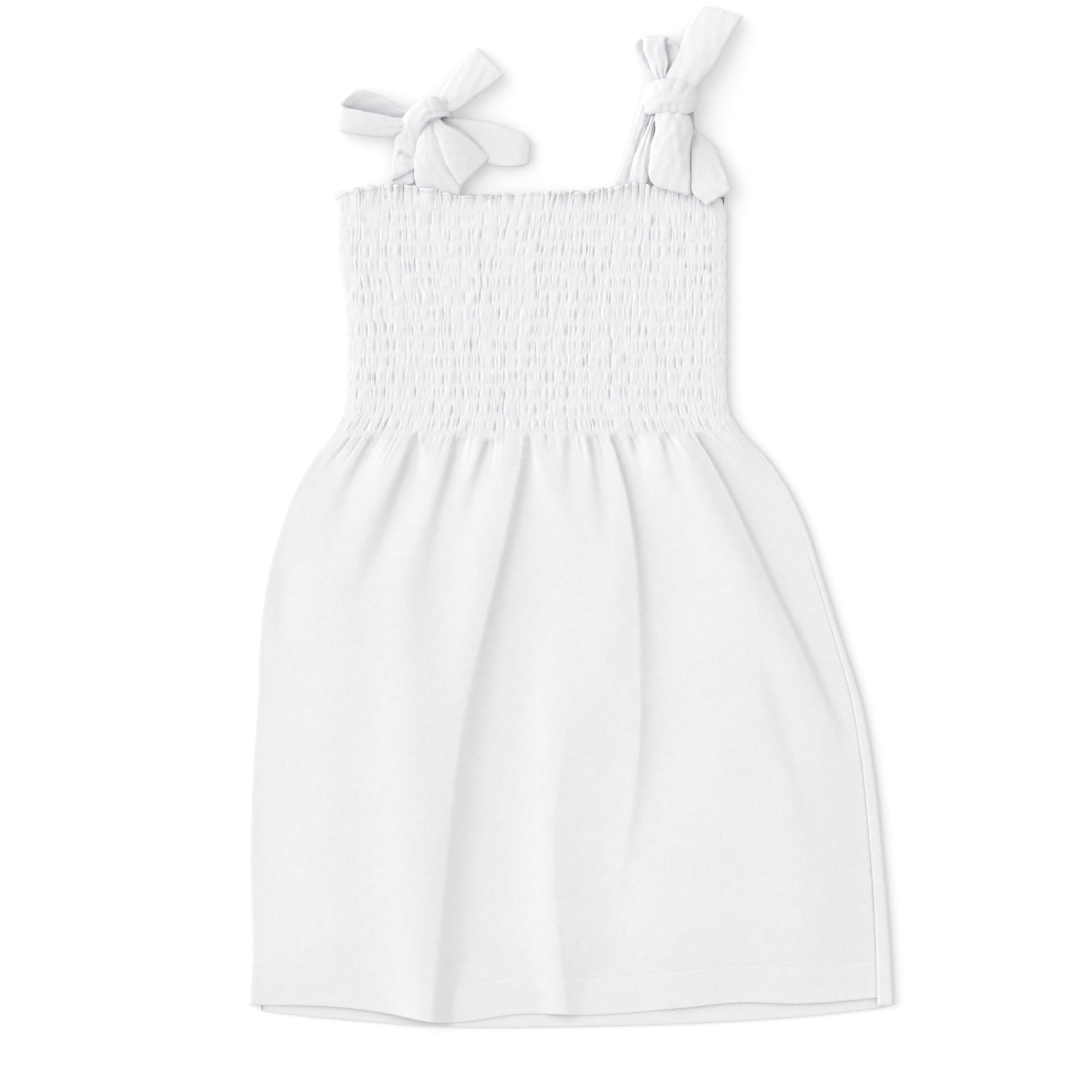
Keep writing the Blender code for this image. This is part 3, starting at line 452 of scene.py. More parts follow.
# Each fold: its x and y at the start, its x halfway, its x and y at the end, its height at the start and the
# end (less than 0 in a trough), how far it spreads to its left at the start and the end, and to its right,
# and whether its left side breaks off sharply
FOLDS = (
    # Long folds out of the gathers
    (-22.5, 45.0, -40.0, -55.0, -268.0, -4.0, -4.0, 1.2, 15.0, 0.9, 42.0, True),
    (20.4, 46.0, 47.0, 37.0, -190.0, -3.9, -1.6, 0.9, 9.0, 4.0, 28.0, True),
    (65.0, 46.0, 113.0, 149.0, -112.0, -4.4, -2.8, 0.9, 7.5, 4.0, 20.0, True),
    # Short ones
    (48.0, 46.0, 56.0, 70.0, -4.0, -2.6, 0.0, 1.2, 4.0, 6.0, 9.0, False),
    (-82.0, 44.0, -97.0, -118.0, -60.0, -5.6, 0.0, 2.0, 7.0, 0.8, 14.0, False),
    (-59.0, 42.0, -74.0, -80.0, -110.0, -3.8, 0.0, 2.0, 9.0, 5.0, 16.0, False),
    (-44.0, 40.0, -51.0, -56.0, -20.0, -2.8, 0.0, 1.4, 5.0, 5.0, 9.0, False),
    (-104.0, 44.0, -120.0, -125.0, -38.0, -2.4, 0.0, 1.4, 7.0, 5.0, 10.0, False),
    (-2.0, 44.0, 0.0, 2.0, -10.0, -2.0, 0.0, 1.3, 4.0, 5.0, 8.0, False),
    (9.0, 44.0, 17.0, 21.0, -30.0, -2.6, 0.0, 1.2, 4.0, 6.0, 9.0, False),
    (31.0, 45.0, 37.0, 42.0, 4.0, -2.0, 0.0, 1.0, 3.0, 5.0, 7.0, False),
    # Broad troughs lower down
    (18.0, -70.0, 14.0, 22.0, -264.0, -0.6, -3.0, 12.0, 19.0, 12.0, 20.0, True),
    (96.0, -50.0, 118.0, 139.0, -205.0, -2.2, 0.0, 6.0, 6.0, 12.0, 12.0, False),
    (-154.0, -18.0, -152.0, -149.0, -88.0, -1.4, 0.0, 8.0, 8.0, 9.0, 9.0, False),
    # Ridges
    (-81.0, 12.0, -84.0, -75.0, -264.0, 2.6, 4.8, 15.0, 17.0, 14.0, 17.0, False),
    (-2.0, -20.0, -10.0, -5.0, -262.0, 1.6, 2.2, 10.0, 11.0, 26.0, 26.0, False),
    (22.0, 20.0, 24.0, 12.0, -120.0, 1.6, 0.0, 9.0, 12.0, 9.0, 9.0, False),
    (-39.0, 20.0, -57.0, -72.0, -200.0, 2.0, 1.4, 9.0, 13.0, 8.0, 11.0, False),
    (54.0, 40.0, 95.0, 134.0, -110.0, 2.6, 1.4, 12.0, 16.0, 8.0, 9.0, False),
)
NARROW = 2.0  # a trough that starts narrower than this on its right runs in under the edge there
RUN_UNDER = 0.55  # as a share of its depth
WAIST_FOLD = 30.0  # a fold that starts above this is drawn out of the gathers
ABOVE_HEM = -250.0  # one that ends above this dies away


def bent(t, start, halfway, end):
    """x along a bent line, from 0 at its start to 1 at its end."""
    return (1 - t) * (1 - 2 * t) * start + 4 * t * (1 - t) * halfway + t * (2 * t - 1) * end


def skirt_fold(x, y):
    """How far the skirt's front stands above the two layers, and how far its troughs run in under their
    right-hand edges."""
    under = 0.0
    left, right = curve(side_y, side_left, y), curve(side_y, side_right, y)
    inset = np.minimum(x - left, right - x)
    hem = curve(front_hem_x, front_hem_y, x)
    total = SKIRT_LOFT * ease(2.0, 50.0, inset) * ease(WAIST + 3, WAIST - 22, y)
    total = total * (0.1 + 0.9 * ease(4.0, 45.0, y - hem))
    for x_top, y_top, x_half, x_end, y_end, *sizes, sharp in FOLDS:
        rise_top, rise_end, left_top, left_end, right_top, right_end = sizes
        run = (y_top - y) / (y_top - y_end)
        t = np.clip(run, 0, 1)
        middle = bent(t, x_top, x_half, x_end)
        opened = ease(0.0, 0.3, t)
        to_left = left_top + (left_end - left_top) * ease(0, 0.6, t)
        to_right = right_top + (right_end - right_top) * opened
        spread = np.where(x < middle, to_left, to_right)
        away = abs(x - middle) / spread
        rise = rise_top + (rise_end - rise_top) * t
        rise = rise * (ease(-0.04, 0.04, run) if y_top > WAIST_FOLD else ease(0.0, 0.4, run))
        if y_end > ABOVE_HEM:
            rise = rise * (ease(1.15, 0.75, run) if rise_end else ease(1.1, 0.5, run))
        shape = np.exp(-(away**2))
        if sharp:
            broken = np.maximum(1 - np.minimum(away * 0.8, 1) ** 2.4, 0)
            shape = np.where(x < middle, broken, shape)
        total = total + rise * shape
        if right_top < NARROW:
            under = under - RUN_UNDER * rise * shape * (1 - opened)
    # A slow unevenness of the whole cloth
    total = total + 0.22 * np.sin(x / 13 + 1.9 * np.sin(y / 31)) * np.sin(y / 23 + 1.3 * np.sin(x / 29))
    return total * ease(0.0, 10.0, inset), under


def seam_open(y):
    """How deep the side seam lies, as a share: hardly at all at the waist, and most down the skirt."""
    return 0.1 + 0.9 * ease(0.0, -40.0, y)


def settled(rise):
    """A rise kept between the layer below and the highest fold, with soft ends."""
    high = SKIRT_CREST * np.tanh(np.maximum(rise, 0) / SKIRT_CREST)
    low = 0.5 * np.tanh(np.minimum(rise, 0) / 0.5)
    return high + low


skirt_cells = np.append((np.arange(GATHERS)[:, None] + np.arange(7) / 7).ravel(), GATHERS - 1e-6)
HEM_DEEP = 19.0  # up to the line of stitches that holds the hem
# Rows stand closer together near the waist and the stitches. Here they are millimetres of a skirt of 300.
skirt_run = np.concatenate([
    np.linspace(-0.8, 26, 38, endpoint=False), np.linspace(26, 279, 178, endpoint=False),
    np.linspace(279, 284, 12, endpoint=False), np.linspace(284, 300, 12),
]) / 300
# How far below the waist each gather dies away, less a little
gather_fade = 12.0 + 9.0 * chance.uniform(-1, 1, GATHERS + 1)


def skirt_row(run):
    """A row of the skirt's front, from 0 at the waist to 1 at the hem."""
    cell = skirt_cells
    y = np.full_like(cell, WAIST - SKIRT_LONG * run)
    x = front_place(cell, y)
    # Each needs the other, so x and y settle in a few rounds.
    for _ in range(2):
        hem = curve(front_hem_x, front_hem_y, x)
        y = WAIST + (hem - WAIST) * run
        x = front_place(cell, y)
    below = WAIST - y
    fade = np.interp(cell, np.arange(GATHERS + 1), gather_fade)
    keep = ease(1.0, 0.0, below / (fade + 8.0))
    past = 0.5 * np.sin(np.pi / 2 * np.minimum(below / 5.5, 1.0))
    thread = THREADS - 1 + np.clip(past, 0.001, 0.5)
    rise = gather_rise(cell, thread, 1.05) * keep * side_hold(cell)
    seam = 0.18 * np.exp(-(((y - hem - HEM_DEEP) / 0.8) ** 2))
    fold, under = skirt_fold(x, y)
    fallen = ease(-1.0, 5.5, below)
    z = TOP_OF_TWO + settled(rise + fold * fallen) - seam - 0.7 * ease(14.0, 0.0, y - hem)
    return x + under * fallen, y, z


grid = np.array([np.stack(skirt_row(run), axis=-1) for run in skirt_run])


def turned_hem(grid, across, depth, over):
    """The same sheet with its last row turned inwards over a thickness, and the turned-up hem behind it."""
    last = grid[-1]
    rows = []
    for angle in np.radians([25, 55, 90, 125, 155, 180]):
        row = last + across * (over / 2) * (1 - math.cos(angle))
        row[:, 1] -= min(over / 2, 0.8) * math.sin(angle)
        rows.append(row)
    for up in (2.0, 7.0, depth):
        row = last + across * over
        row[:, 1] += up
        rows.append(row)
    return np.concatenate([grid, np.array(rows)], axis=0)


grid = np.concatenate([round_left(grid), grid, *right_seam(grid, 0.22 * seam_open(grid[:, -1, 1]))], axis=1)
# Which way is inwards at each column: up below the left side, across the round, and down from the front
inward = np.zeros((grid.shape[1], 3))
inward[:, 2] = -1
inward[:len(UNDER_LEFT)] = (0, 0, 1)
for k in range(ROUND_STEPS):
    angle = -math.pi / 2 + math.pi * k / ROUND_STEPS
    inward[len(UNDER_LEFT) + k] = (math.cos(angle), 0, -math.sin(angle))
grid = turned_hem(grid, inward, depth=18.0, over=1.5)
skirt_front = cloth("skirt_front", grid, front_terry)
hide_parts("front")

# Back of the dress: one panel like the front's, shirred and gathered in the same way. It lies face down on
# the table, which presses its gathers flat, and it wraps round the right side to the seam on top.

back_hem_x, back_hem_y = np.array([
    (-172.0, -259.4), (-155.0, -262.6), (-104.0, -267.4), (-70.0, -270.0), (33.0, -269.0), (110.0, -265.3),
    (164.0, -259.7), (172.0, -257.3),
]).T
BACK_DROP = 0.6  # how far the back's top edge lies below the front's
BACK_FULL = 1.45  # how high a gather stands that is pressed right down on the table
back_cells = np.append((np.arange(GATHERS)[:, None] + np.arange(7) / 7).ravel(), GATHERS - 1e-6)[::-1]
back_steps = np.array([0.0, 0.08, 0.2, 0.35, 0.5, 0.65, 0.8, 0.92])
# Creases in the back of the skirt: start, halfway x, end, depth and half width
BACK_CREASES = (
    (-70.0, 46.0, -95.0, -120.0, -90.0, 1.1, 4.0),
    (-30.0, 46.0, -38.0, -52.0, -180.0, 1.3, 6.0),
    (8.0, 46.0, 14.0, 2.0, -150.0, 1.0, 5.0),
    (40.0, 46.0, 62.0, 88.0, -230.0, 1.3, 7.0),
    (72.0, 44.0, 104.0, 128.0, -80.0, 1.0, 4.0),
)


def back_place(cell, y):
    """x of a place in the back, between the right side and the seam below the left one."""
    left = curve(side_y, side_left, y) + UNDERLAP + 0.1
    right = curve(side_y, side_right, y) - TURN
    return right - (right - left) * gather_share(GATHERS - cell, (THREAD_TOP - y) / THREAD_PITCH)


def back_under(x, y, rise):
    """The back's face below, pressed flat where it rests."""
    hollow = 0.0
    for x_top, y_top, x_half, x_end, y_end, deep, half in BACK_CREASES:
        run = (y_top - y) / (y_top - y_end)
        t = np.clip(run, 0, 1)
        middle = bent(t, x_top, x_half, x_end)
        fade = ease(-0.02, 0.05, run) * ease(1.05, 0.6, run)
        hollow = hollow + deep * fade * np.exp(-(((x - middle) / (half * (0.4 + 0.6 * t))) ** 2))
    return np.clip(0.8 * rise, 0.0, 1.7) + np.minimum(hollow, 1.4)


def back_row(kind, at):
    """A row of the back: how far up the ruffle, at which thread, or how far down the skirt it lies."""
    cell = back_cells
    y = np.full_like(cell, WAIST)
    if kind == "ruffle":
        phase = 3.9 * cell + 1.7 * np.sin(0.6 * cell)
        for _ in range(3):
            x = back_place(cell, y)
            edge = curve(top_x, top_y, x) - BACK_DROP + 0.9 * np.sin(phase)
            y = THREAD_TOP + (edge - THREAD_TOP) * at
        thread = np.full_like(cell, -0.02 - 0.46 * at)
        gathered = 1.0
    elif kind == "thread":
        y = np.full_like(cell, THREAD_TOP - at * THREAD_PITCH)
        thread = np.full_like(cell, at)
        gathered = 1.0
    else:
        for _ in range(3):
            x = back_place(cell, y)
            y = WAIST + (curve(back_hem_x, back_hem_y, x) - WAIST) * at
        below = WAIST - y
        thread = THREADS - 1 + np.clip(0.5 * below / 7.0, 0.001, 0.5)
        gathered = ease(22.0, 0.0, below)
    x = back_place(cell, y)
    rise = BACK_FULL - gather_rise(GATHERS - cell, thread)
    z = back_under(x, y, rise * gathered)
    return np.stack([x, y, z], axis=-1)


FLAT_RIGHT = (0.2, 0.45, 0.7)  # columns between the seam and the round, as shares of the way


def round_right(back):
    """Columns from the seam on top, out and round the right side, down to the back's first column below."""
    x, y, z = back[:, 0].T
    bulge = side_bulge(y)
    seam = curve(side_y, side_right, y) - curve(side_y, side_seam, y)
    high = TOP_OF_TWO + 0.5 * bulge + 0.55 * ease(WAIST - 12, WAIST, y)
    sunk = seam_open(y)
    columns = [(seam, y, high - 1.0), (seam + 0.2, y, high - 0.2 * sunk)]
    above = np.maximum(x, seam + 0.4)  # where the round starts on top
    for share in FLAT_RIGHT:
        columns.append((seam + 0.3 + (above - seam - 0.3) * share, y, high))
    widest = z + 0.08 * (high - z)
    for k in range(ROUND_STEPS):
        angle = math.pi / 2 - math.pi * k / ROUND_STEPS
        if angle > 0:
            inner, away, up = above, math.cos(angle) ** 0.6, (high - widest) * math.sin(angle)
        else:
            inner, away, up = x, math.cos(angle), (widest - z) * math.sin(angle)
        columns.append((inner + (x + TURN + bulge - inner) * away, y, widest + up))
    return np.stack([np.stack(column, axis=-1) for column in columns], axis=1)


back_threads = np.append((np.arange(THREADS - 1)[:, None] + back_steps).ravel(), THREADS - 1)
back_run = np.concatenate([np.linspace(0.003, 0.08, 24, endpoint=False), np.linspace(0.08, 1, 130)])
rows = [back_row("ruffle", share) for share in np.linspace(1, 0, 8, endpoint=False)]
rows += [back_row("thread", at) for at in back_threads]
rows += [back_row("skirt", run) for run in back_run]
grid = np.array(rows)
grid = np.concatenate([round_right(grid), grid], axis=1)
left_end = [grid[:, -1:, :] + np.array([[offset]]) for offset in ((-0.05, 0.0, 0.5), (-0.05, 0.0, 1.4))]
grid = np.concatenate([grid] + left_end, axis=1)
inward = np.zeros((grid.shape[1], 3))
inward[:, 2] = 1
on_top = 2 + len(FLAT_RIGHT)  # columns from the seam to the round
inward[:on_top] = (0, 0, -1)
for k in range(ROUND_STEPS):
    angle = math.pi / 2 - math.pi * k / ROUND_STEPS
    inward[on_top + k] = (-math.cos(angle), 0, -math.sin(angle))
grid = turned_hem(grid, inward, depth=18.0, over=2.0)
# The top edge is turned in the same way, with the sheet's rows reversed.
grid = turned_hem(grid[::-1] * (1, -1, 1), inward, depth=9.0, over=2.6)[::-1] * (1, -1, 1)
back_terry = terry("back_terry", PLAIN, PLAIN_SHADE, streaks=0.5, depth=0.4)
back_panel = cloth("back_panel", grid, back_terry)
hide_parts("back")

# Shoulder ties: four turned tubes of the same terry, pressed flat to about 20 mm, one sewn behind each end
# of the front's and the back's top edge. At each shoulder the two are tied in a bow that lies where it fell.

TIE = 2.6  # both layers of a pressed tube
TIE_ACROSS = 26  # points across one of its faces
TUFTS = 0.14  # how uneven the pile makes its outline
TIE_BETWEEN = 9  # rings from one row of its table to the next
tie_terry = terry("tie_terry", (0.73, 0.732, 0.75), (0.685, 0.687, 0.703), streaks=0.0, depth=0.65)


def tie_piece(
    name, node, rows, pleats=(0.35, 7.0, 0.0), far_pleats=(0.0, 9.0, 0.0), cut=False, creases=(),
):
    """One run of a tie. A row is its left edge's x and y, its right edge's x and
    y, the heights of both, and how far its middle is puffed up. Pleats are the depth of the gathers where it
    comes out of the knot, the distance over which they fade, and their phase. Far pleats are those at its
    other end, and cut says that it ends there. A crease runs from x, y to x, y and has a depth and a half
    width."""
    rows = np.array(rows)
    places = np.arange(len(rows), dtype=float)
    at = np.linspace(0, len(rows) - 1, TIE_BETWEEN * (len(rows) - 1) + 1)
    columns = [curve(places, column, at) for column in rows.T]
    left_x, left_y, right_x, right_y, left_z, right_z, crown = columns
    left = np.stack([left_x, left_y, left_z], axis=-1)
    right = np.stack([right_x, right_y, right_z], axis=-1)
    middle = (left + right) / 2
    along = np.gradient(middle, axis=0)
    normal = np.cross(right - left, along)
    normal /= np.linalg.norm(normal, axis=1)[:, None]
    walked = np.concatenate([[0], np.cumsum(np.linalg.norm(np.diff(middle, axis=0), axis=1))])
    width = np.linalg.norm(right - left, axis=1)
    half = np.full_like(walked, TIE / 2)
    if cut:
        # The sewn end is rounded over the tie's thickness.
        onward = along[-1] / np.linalg.norm(along[-1])
        for angle in np.radians([30, 55, 75, 88]):
            step = onward * TIE / 2 * math.sin(angle)
            left = np.vstack([left, left[len(at) - 1] + step])
            right = np.vstack([right, right[len(at) - 1] + step])
            half = np.append(half, TIE / 2 * math.cos(angle))
        extra = len(half) - len(at)
        normal = np.vstack([normal] + [normal[-1:]] * extra)
        crown, width = np.append(crown, [crown[-1]] * extra), np.append(width, [width[-1]] * extra)
        walked = np.append(walked, [walked[-1]] * extra)
    share = np.sin(np.linspace(-np.pi / 2, np.pi / 2, TIE_ACROSS))
    tufts = wavering(len(half), 2 * TIE_ACROSS - 2, 1) * TUFTS
    rings = []
    for k in range(len(half)):
        round_edge = min(TIE / max(width[k], 1.0), 0.98)
        inset = np.clip((np.abs(share) - 1 + round_edge) / round_edge, 0, 1)
        thick = half[k] * np.sqrt(1 - inset**2)
        lift = crown[k] * (1 - share**2)
        for (deep, fade, phase), gone in ((pleats, walked[k]), (far_pleats, walked[-1] - walked[k])):
            if deep:
                pleat = np.cos(2.6 * np.pi * share + phase + 0.05 * gone)
                lift = lift + deep * math.exp(-gone / fade) * pleat
        # A slow unevenness, of its own in each piece
        lift = lift + 0.12 * np.sin(0.9 * share * width[k] / 2 + 0.35 * walked[k] + len(name))
        place = left[k] + (right[k] - left[k]) * ((share + 1) / 2)[:, None]
        for x0, y0, x1, y1, deep, reach in creases:
            run = np.array([x1 - x0, y1 - y0])
            away = place[:, :2] - (x0, y0)
            part = np.clip(away @ run / (run @ run), 0, 1)
            gone = np.linalg.norm(away - part[:, None] * run, axis=1)
            lift = lift - deep * np.exp(-((gone / reach) ** 2))
        upper = place + normal[k] * (lift + thick)[:, None]
        lower = place + normal[k] * (lift - thick)[:, None]
        ring = np.concatenate([upper, lower[-2:0:-1]])
        outward = ring - ring.mean(axis=0)
        ring += outward / np.maximum(np.linalg.norm(outward, axis=1), 1)[:, None] * tufts[k][:, None]
        ring[:, 2] = np.maximum(ring[:, 2], 0.05)
        rings.append(ring)
    around = len(rings[0])
    points = np.concatenate(rings)
    faces = []
    for k in range(len(rings) - 1):
        for i in range(around):
            n = (i + 1) % around
            faces.append((k * around + i, (k + 1) * around + i, (k + 1) * around + n, k * around + n))
    faces.append(tuple(range(around)))
    faces.append(tuple(reversed(range((len(rings) - 1) * around, len(rings) * around))))
    piece = new_piece(name, points, faces, tie_terry)
    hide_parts(node)


def knot_core(name, node, centre, halves, turn):
    """The bunched cloth inside a knot, which shows between the turns of the tie round it."""
    around, rings = 48, 30
    square = 2.4  # 2 would make it an egg, and more squares it off
    points = []
    for i in range(rings + 1):
        polar = math.pi * i / rings
        for j in range(around):
            angle = 2 * math.pi * j / around
            u, v, w = -math.cos(polar), math.sin(polar) * math.cos(angle), math.sin(polar) * math.sin(angle)
            size = (abs(u) ** square + abs(v) ** square + abs(w) ** square) ** (-1 / square)
            size *= 1 + 0.035 * math.sin(7 * angle + 3 * u) * math.sin(polar)
            along, across = u * size * halves[0], v * size * halves[1]
            points.append((
                centre[0] + along * math.cos(turn) - across * math.sin(turn),
                centre[1] + along * math.sin(turn) + across * math.cos(turn),
                centre[2] + w * size * halves[2],
            ))
    faces = []
    for i in range(rings):
        for j in range(around):
            n = (j + 1) % around
            faces.append((i * around + j, i * around + n, (i + 1) * around + n, (i + 1) * around + j))
    piece = new_piece(name, np.array(points), faces, tie_terry)
    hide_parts(node)


knot_core("left_knot_core", "left_knot", (-75.6, 214.6, 8.0), (8.6, 6.4, 6.0), math.radians(14))
tie_piece("left_upper_tail", "left_tail_upper", (
    (-73.7, 219.4, -70.4, 212.9, 9.0, 9.0, 0.5),
    (-70.0, 223.0, -60.6, 214.5, 7.5, 9.0, 1.2),
    (-61.5, 235.7, -50.1, 222.2, 4.6, 7.6, 1.4),
    (-55.0, 243.8, -41.9, 227.9, 3.0, 6.6, 0.9),
    (-51.3, 247.7, -36.2, 232.8, 2.2, 6.0, 0.5),
), cut=True)
tie_piece("left_lower_tail", "left_tail_lower", (
    (-72.4, 212.9, -74.5, 209.6, 9.5, 9.5, 0.2),
    (-66.3, 207.2, -72.0, 202.4, 10.4, 10.2, 0.8),
    (-59.8, 204.3, -68.8, 192.7, 9.8, 9.4, 1.3),
    (-52.1, 198.6, -65.0, 183.8, 8.0, 8.2, 1.2),
    (-44.0, 190.9, -59.4, 175.6, 5.6, 6.6, 0.6),
), pleats=(0.4, 8.0, 0.6), cut=True)
tie_piece("left_front_strap", "left_strap_front", (
    (-73.7, 210.8, -76.1, 209.6, 9.4, 9.4, 0.2),
    (-70.8, 202.3, -80.6, 202.3, 9.2, 8.6, 1.2),
    (-66.3, 190.1, -82.6, 193.3, 7.6, 7.0, 1.7),
    (-62.0, 180.5, -83.4, 181.9, 5.4, 5.4, 1.0),
    (-58.2, 175.0, -82.4, 175.5, 4.5, 4.5, 0.4),
    (-59.0, 168.5, -80.0, 168.5, 3.0, 3.0, 0.0),
), pleats=(0.4, 8.0, 2.2))
tie_piece("left_back_strap", "left_strap_back", (
    (-65.0, 210.0, -64.6, 218.6, 4.6, 4.6, 0.5),
    (-66.2, 211.2, -67.8, 221.0, 10.0, 10.0, 0.7),
    (-71.2, 210.6, -74.5, 221.8, 13.0, 13.2, 0.8),
    (-74.8, 209.6, -81.0, 219.0, 13.4, 13.2, 1.0),
    (-77.6, 206.0, -87.2, 213.7, 11.6, 11.0, 1.1),
    (-79.6, 201.6, -91.9, 205.5, 8.6, 7.6, 1.2),
    (-80.6, 196.6, -94.0, 196.6, 6.4, 5.2, 1.1),
    (-81.6, 190.1, -95.0, 186.5, 5.2, 4.4, 0.9),
    (-82.4, 185.6, -95.8, 178.8, 4.8, 4.4, 0.3),
    (-82.4, 184.8, -95.8, 177.9, 3.2, 3.0, 0.0),
    (-83.0, 177.0, -95.0, 170.0, 2.9, 2.9, 0.0),
), pleats=(0.5, 14.0, 1.0), creases=(
    (-91.6, 190.1, -90.0, 192.6, 0.8, 0.9), (-90.0, 192.6, -84.2, 189.4, 1.4, 1.0),
    (-86.6, 203.0, -85.4, 196.5, 0.6, 0.7), (-71.2, 220.4, -66.6, 214.3, 0.7, 0.9),
    (-76.5, 219.5, -73.5, 212.0, 0.4, 0.8),
))
tie_piece("left_inner_loop", "left_loop_inner", (
    (-68.8, 211.2, -70.4, 207.2, 3.4, 3.4, 0.0),
    (-54.1, 209.6, -53.3, 193.3, 2.3, 2.0, 0.0),
    (-39.5, 207.2, -40.3, 186.0, 1.6, 1.6, 0.0),
    (-27.4, 202.7, -28.3, 185.6, 1.6, 1.6, 0.0),
    (-22.4, 199.4, -23.6, 186.6, 3.2, 3.2, 0.0),
    (-26.4, 202.9, -28.0, 185.2, 4.6, 4.4, -0.2),
    (-40.3, 208.0, -40.3, 185.5, 4.8, 4.4, -0.5),
    (-54.1, 210.3, -53.3, 192.6, 4.8, 4.5, -0.9),
    (-68.0, 212.1, -69.6, 208.0, 5.4, 5.4, -0.4),
), pleats=(0.2, 9.0, 0.0), far_pleats=(0.6, 10.0, 0.4))
tie_piece("left_outer_loop", "left_loop_outer", (
    (-81.0, 209.6, -80.2, 216.9, 6.5, 6.5, 0.0),
    (-90.0, 208.0, -88.3, 215.3, 3.8, 6.0, 0.0),
    (-98.1, 206.4, -98.9, 221.4, 2.4, 6.6, -0.6),
    (-109.5, 204.7, -109.9, 225.7, 2.2, 7.4, -0.9),
    (-117.4, 203.6, -115.8, 224.6, 2.2, 7.8, -0.6),
    (-123.0, 206.0, -121.3, 219.6, 3.6, 8.2, 0.0),
    (-121.2, 203.4, -119.7, 216.3, 5.6, 10.2, -0.4),
    (-110.3, 201.5, -110.3, 214.3, 6.0, 11.0, -1.2),
    (-98.9, 200.8, -99.7, 212.3, 6.2, 10.6, -1.3),
    (-92.4, 201.6, -92.0, 210.8, 7.2, 9.8, -1.0),
    (-82.6, 206.4, -82.6, 211.4, 8.0, 8.6, -0.3),
), pleats=(0.2, 9.0, 0.0), far_pleats=(0.5, 9.0, 1.0))

knot_core("right_knot_core", "right_knot", (52.4, 221.8, 8.4), (11.6, 8.6, 6.2), math.radians(-3))
tie_piece("right_wrap", "right_knot", (
    (65.1, 216.3, 65.9, 225.4, 4.2, 4.2, 0.4),
    (64.2, 214.2, 63.8, 228.8, 8.8, 8.8, 1.4),
    (60.1, 212.3, 58.4, 231.2, 11.4, 10.8, 2.6),
    (52.6, 212.9, 50.9, 231.6, 12.2, 11.2, 3.0),
    (45.9, 212.9, 44.3, 230.7, 11.4, 10.8, 2.7),
    (41.1, 212.5, 39.9, 227.3, 8.8, 9.0, 1.4),
    (40.1, 214.4, 39.3, 223.8, 4.6, 4.6, 0.4),
), pleats=(0.3, 7.0, 0.4), creases=(
    (55.5, 231.5, 53.0, 225.5, 0.8, 0.9), (61.5, 229.5, 58.5, 224.0, 0.9, 1.0),
    (48.0, 213.0, 48.6, 216.6, 0.7, 0.9), (52.3, 212.8, 52.6, 217.2, 0.6, 0.9),
    (56.6, 212.8, 56.2, 216.2, 0.7, 0.9), (44.0, 231.0, 46.5, 226.5, 0.5, 0.9),
    (41.0, 222.0, 47.0, 220.4, 0.3, 1.1), (51.0, 222.6, 59.0, 221.0, 0.3, 1.2),
))
tie_piece("right_upper_tail", "right_tail_upper", (
    (51.8, 227.1, 61.7, 220.4, 9.0, 9.0, 0.5),
    (49.7, 232.9, 65.1, 225.9, 9.4, 9.6, 1.2),
    (55.9, 244.6, 76.7, 239.6, 7.0, 8.8, 1.6),
    (60.5, 257.1, 82.6, 251.3, 4.6, 7.2, 1.0),
    (68.4, 269.4, 90.1, 263.3, 2.4, 5.4, 0.5),
), pleats=(0.4, 8.0, 0.0), cut=True)
tie_piece("right_upper_loop", "right_loop_upper", (
    (45.9, 227.1, 50.9, 227.1, 6.0, 6.0, 0.0),
    (42.2, 233.8, 51.6, 233.3, 4.8, 6.4, 0.0),
    (36.8, 240.4, 56.0, 240.4, 4.0, 6.6, -0.6),
    (33.1, 247.9, 57.6, 247.1, 4.2, 6.4, -0.9),
    (33.8, 251.7, 55.6, 250.0, 5.0, 7.2, -0.4),
    (36.4, 253.0, 51.3, 252.6, 6.6, 7.6, 0.0),
    (37.9, 251.0, 49.6, 251.3, 8.2, 8.6, -0.2),
    (37.9, 246.3, 49.9, 246.5, 8.6, 9.0, -0.5),
    (40.3, 240.4, 51.2, 240.4, 8.8, 9.2, -0.7),
    (42.6, 234.6, 50.2, 234.6, 9.4, 9.6, -0.6),
    (45.9, 228.8, 50.1, 228.8, 9.2, 9.2, -0.2),
), pleats=(0.3, 9.0, 0.0), far_pleats=(0.5, 12.0, 0.5))
tie_piece("right_lower_loop", "right_loop_lower", (
    (60.1, 215.4, 45.9, 215.4, 7.6, 7.6, 0.0),
    (63.0, 207.1, 44.3, 207.1, 6.4, 6.4, 0.0),
    (63.0, 194.6, 42.2, 196.3, 5.6, 5.6, 0.0),
    (62.4, 178.5, 41.0, 182.0, 6.2, 6.2, 0.0),
    (62.9, 170.6, 43.6, 175.6, 8.2, 7.6, 0.0),
    (62.8, 177.5, 40.6, 181.0, 9.0, 8.6, -0.9),
    (62.7, 193.8, 41.9, 195.4, 8.8, 9.2, -2.4),
    (64.2, 204.6, 44.3, 204.6, 9.2, 9.8, -2.8),
    (62.2, 211.7, 43.8, 211.7, 10.0, 10.4, -2.4),
    (58.4, 215.4, 47.6, 215.4, 11.0, 11.0, -0.6),
), pleats=(0.3, 9.0, 0.0), far_pleats=(0.8, 6.0, 1.2), creases=(
    (55.0, 208.0, 57.5, 186.0, 0.7, 1.6), (49.5, 209.0, 48.5, 198.0, 0.35, 1.2),
))
tie_piece("right_back_strap", "right_strap_back", (
    (41.8, 220.4, 39.3, 224.6, 4.4, 4.4, 0.0),
    (43.1, 213.8, 36.9, 219.6, 3.6, 3.6, 0.4),
    (39.0, 201.3, 30.9, 200.4, 3.2, 2.8, 0.6),
    (37.4, 189.6, 26.8, 187.1, 2.6, 2.4, 0.6),
    (36.2, 177.1, 23.0, 176.3, 2.0, 2.0, 0.5),
    (35.0, 168.0, 24.0, 168.0, 1.8, 1.8, 0.0),
), pleats=(0.3, 12.0, 0.0), creases=((38.0, 205.0, 29.5, 178.0, 0.5, 1.0),))
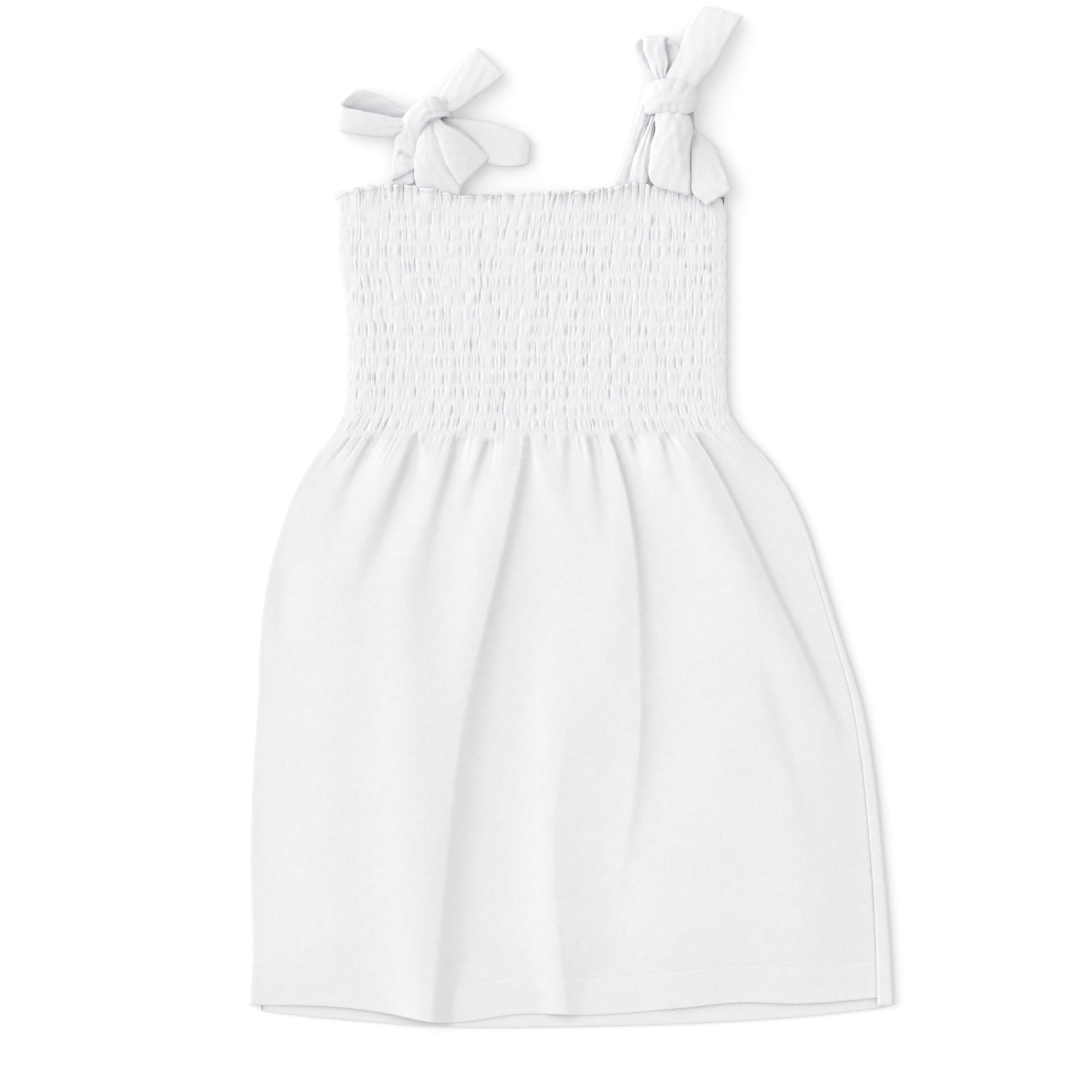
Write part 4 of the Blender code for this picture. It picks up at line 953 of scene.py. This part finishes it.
tie_piece("right_front_strap", "right_strap_front", (
    (45.9, 212.1, 42.2, 212.1, 8.4, 8.4, 0.0),
    (44.0, 206.3, 40.6, 207.1, 7.2, 7.2, 0.2),
    (43.4, 198.8, 35.9, 196.3, 7.0, 6.4, 0.3),
    (41.6, 188.0, 32.6, 188.8, 6.4, 5.6, 0.4),
    (40.6, 178.0, 30.8, 177.5, 5.6, 4.6, 0.3),
    (37.5, 172.0, 31.5, 172.0, 1.6, 1.6, 0.0),
), pleats=(0.35, 60.0, 1.6))
tie_piece("right_lower_tail", "right_tail_lower", (
    (65.1, 213.8, 58.4, 213.8, 5.0, 5.0, 0.2),
    (66.7, 204.6, 59.2, 202.9, 3.6, 3.8, 0.4),
    (75.5, 196.3, 62.4, 191.6, 3.2, 6.4, 0.6),
    (80.9, 183.8, 62.6, 179.0, 5.4, 7.6, 0.8),
    (82.9, 178.0, 64.0, 171.0, 7.6, 8.4, 0.8),
    (84.1, 173.6, 70.5, 165.2, 8.6, 8.6, 0.5),
), pleats=(0.5, 12.0, 0.8), cut=True)

# Table: a plain pale surface that the dress is laid out on, lit by a broad soft light from the left.

REACH = 6.0  # of the table, in metres to each side
corners = [(-REACH, -REACH, 0), (REACH, -REACH, 0), (REACH, REACH, 0), (-REACH, REACH, 0)]
floor_mesh = bpy.data.meshes.new("table")
floor_mesh.from_pydata(corners, [], [(0, 1, 2, 3)])
floor = bpy.data.objects.new("table", floor_mesh)
floor.location.z = -0.0002
bpy.context.scene.collection.objects.link(floor)
paper = Finish("table_white", roughness=0.9, sheen=0.0)
paper.shader.inputs["Base Color"].default_value = (0.7, 0.7, 0.7, 1.0)
# It is lit a little from below, as a light table is.
paper.shader.inputs["Emission Color"].default_value = (1.0, 1.0, 1.0, 1.0)
paper.shader.inputs["Emission Strength"].default_value = 0.2
floor_mesh.materials.append(paper.material)

world = bpy.data.worlds.new("studio")
world.use_nodes = True
world.node_tree.nodes["Background"].inputs["Color"].default_value = (1.0, 1.0, 1.0, 1.0)
world.node_tree.nodes["Background"].inputs["Strength"].default_value = 0.93
bpy.context.scene.world = world

window = bpy.data.lights.new("window", "SUN")
window.energy = 1.7
window.angle = math.radians(70)
lamp = bpy.data.objects.new("window", window)
# It shines from the left and a little from above, 33 degrees up.
lamp.rotation_euler = (0.0, math.radians(-57), math.radians(-20))
bpy.context.scene.collection.objects.link(lamp)

camera = bpy.data.cameras.new("camera")
camera.sensor_width = 36.0
CAMERA_HEIGHT = 4.0  # metres, high enough that the dress shows almost without perspective
FRAME_WIDTH = 0.5724  # metres, what the camera sees of the table, across
camera.lens = camera.sensor_width * CAMERA_HEIGHT / FRAME_WIDTH
camera.clip_end = 50.0
eye = bpy.data.objects.new("camera", camera)
eye.location = (-0.0167, -0.0125, CAMERA_HEIGHT)
bpy.context.scene.collection.objects.link(eye)
bpy.context.scene.camera = eye
bpy.context.scene.view_settings.view_transform = "Standard"
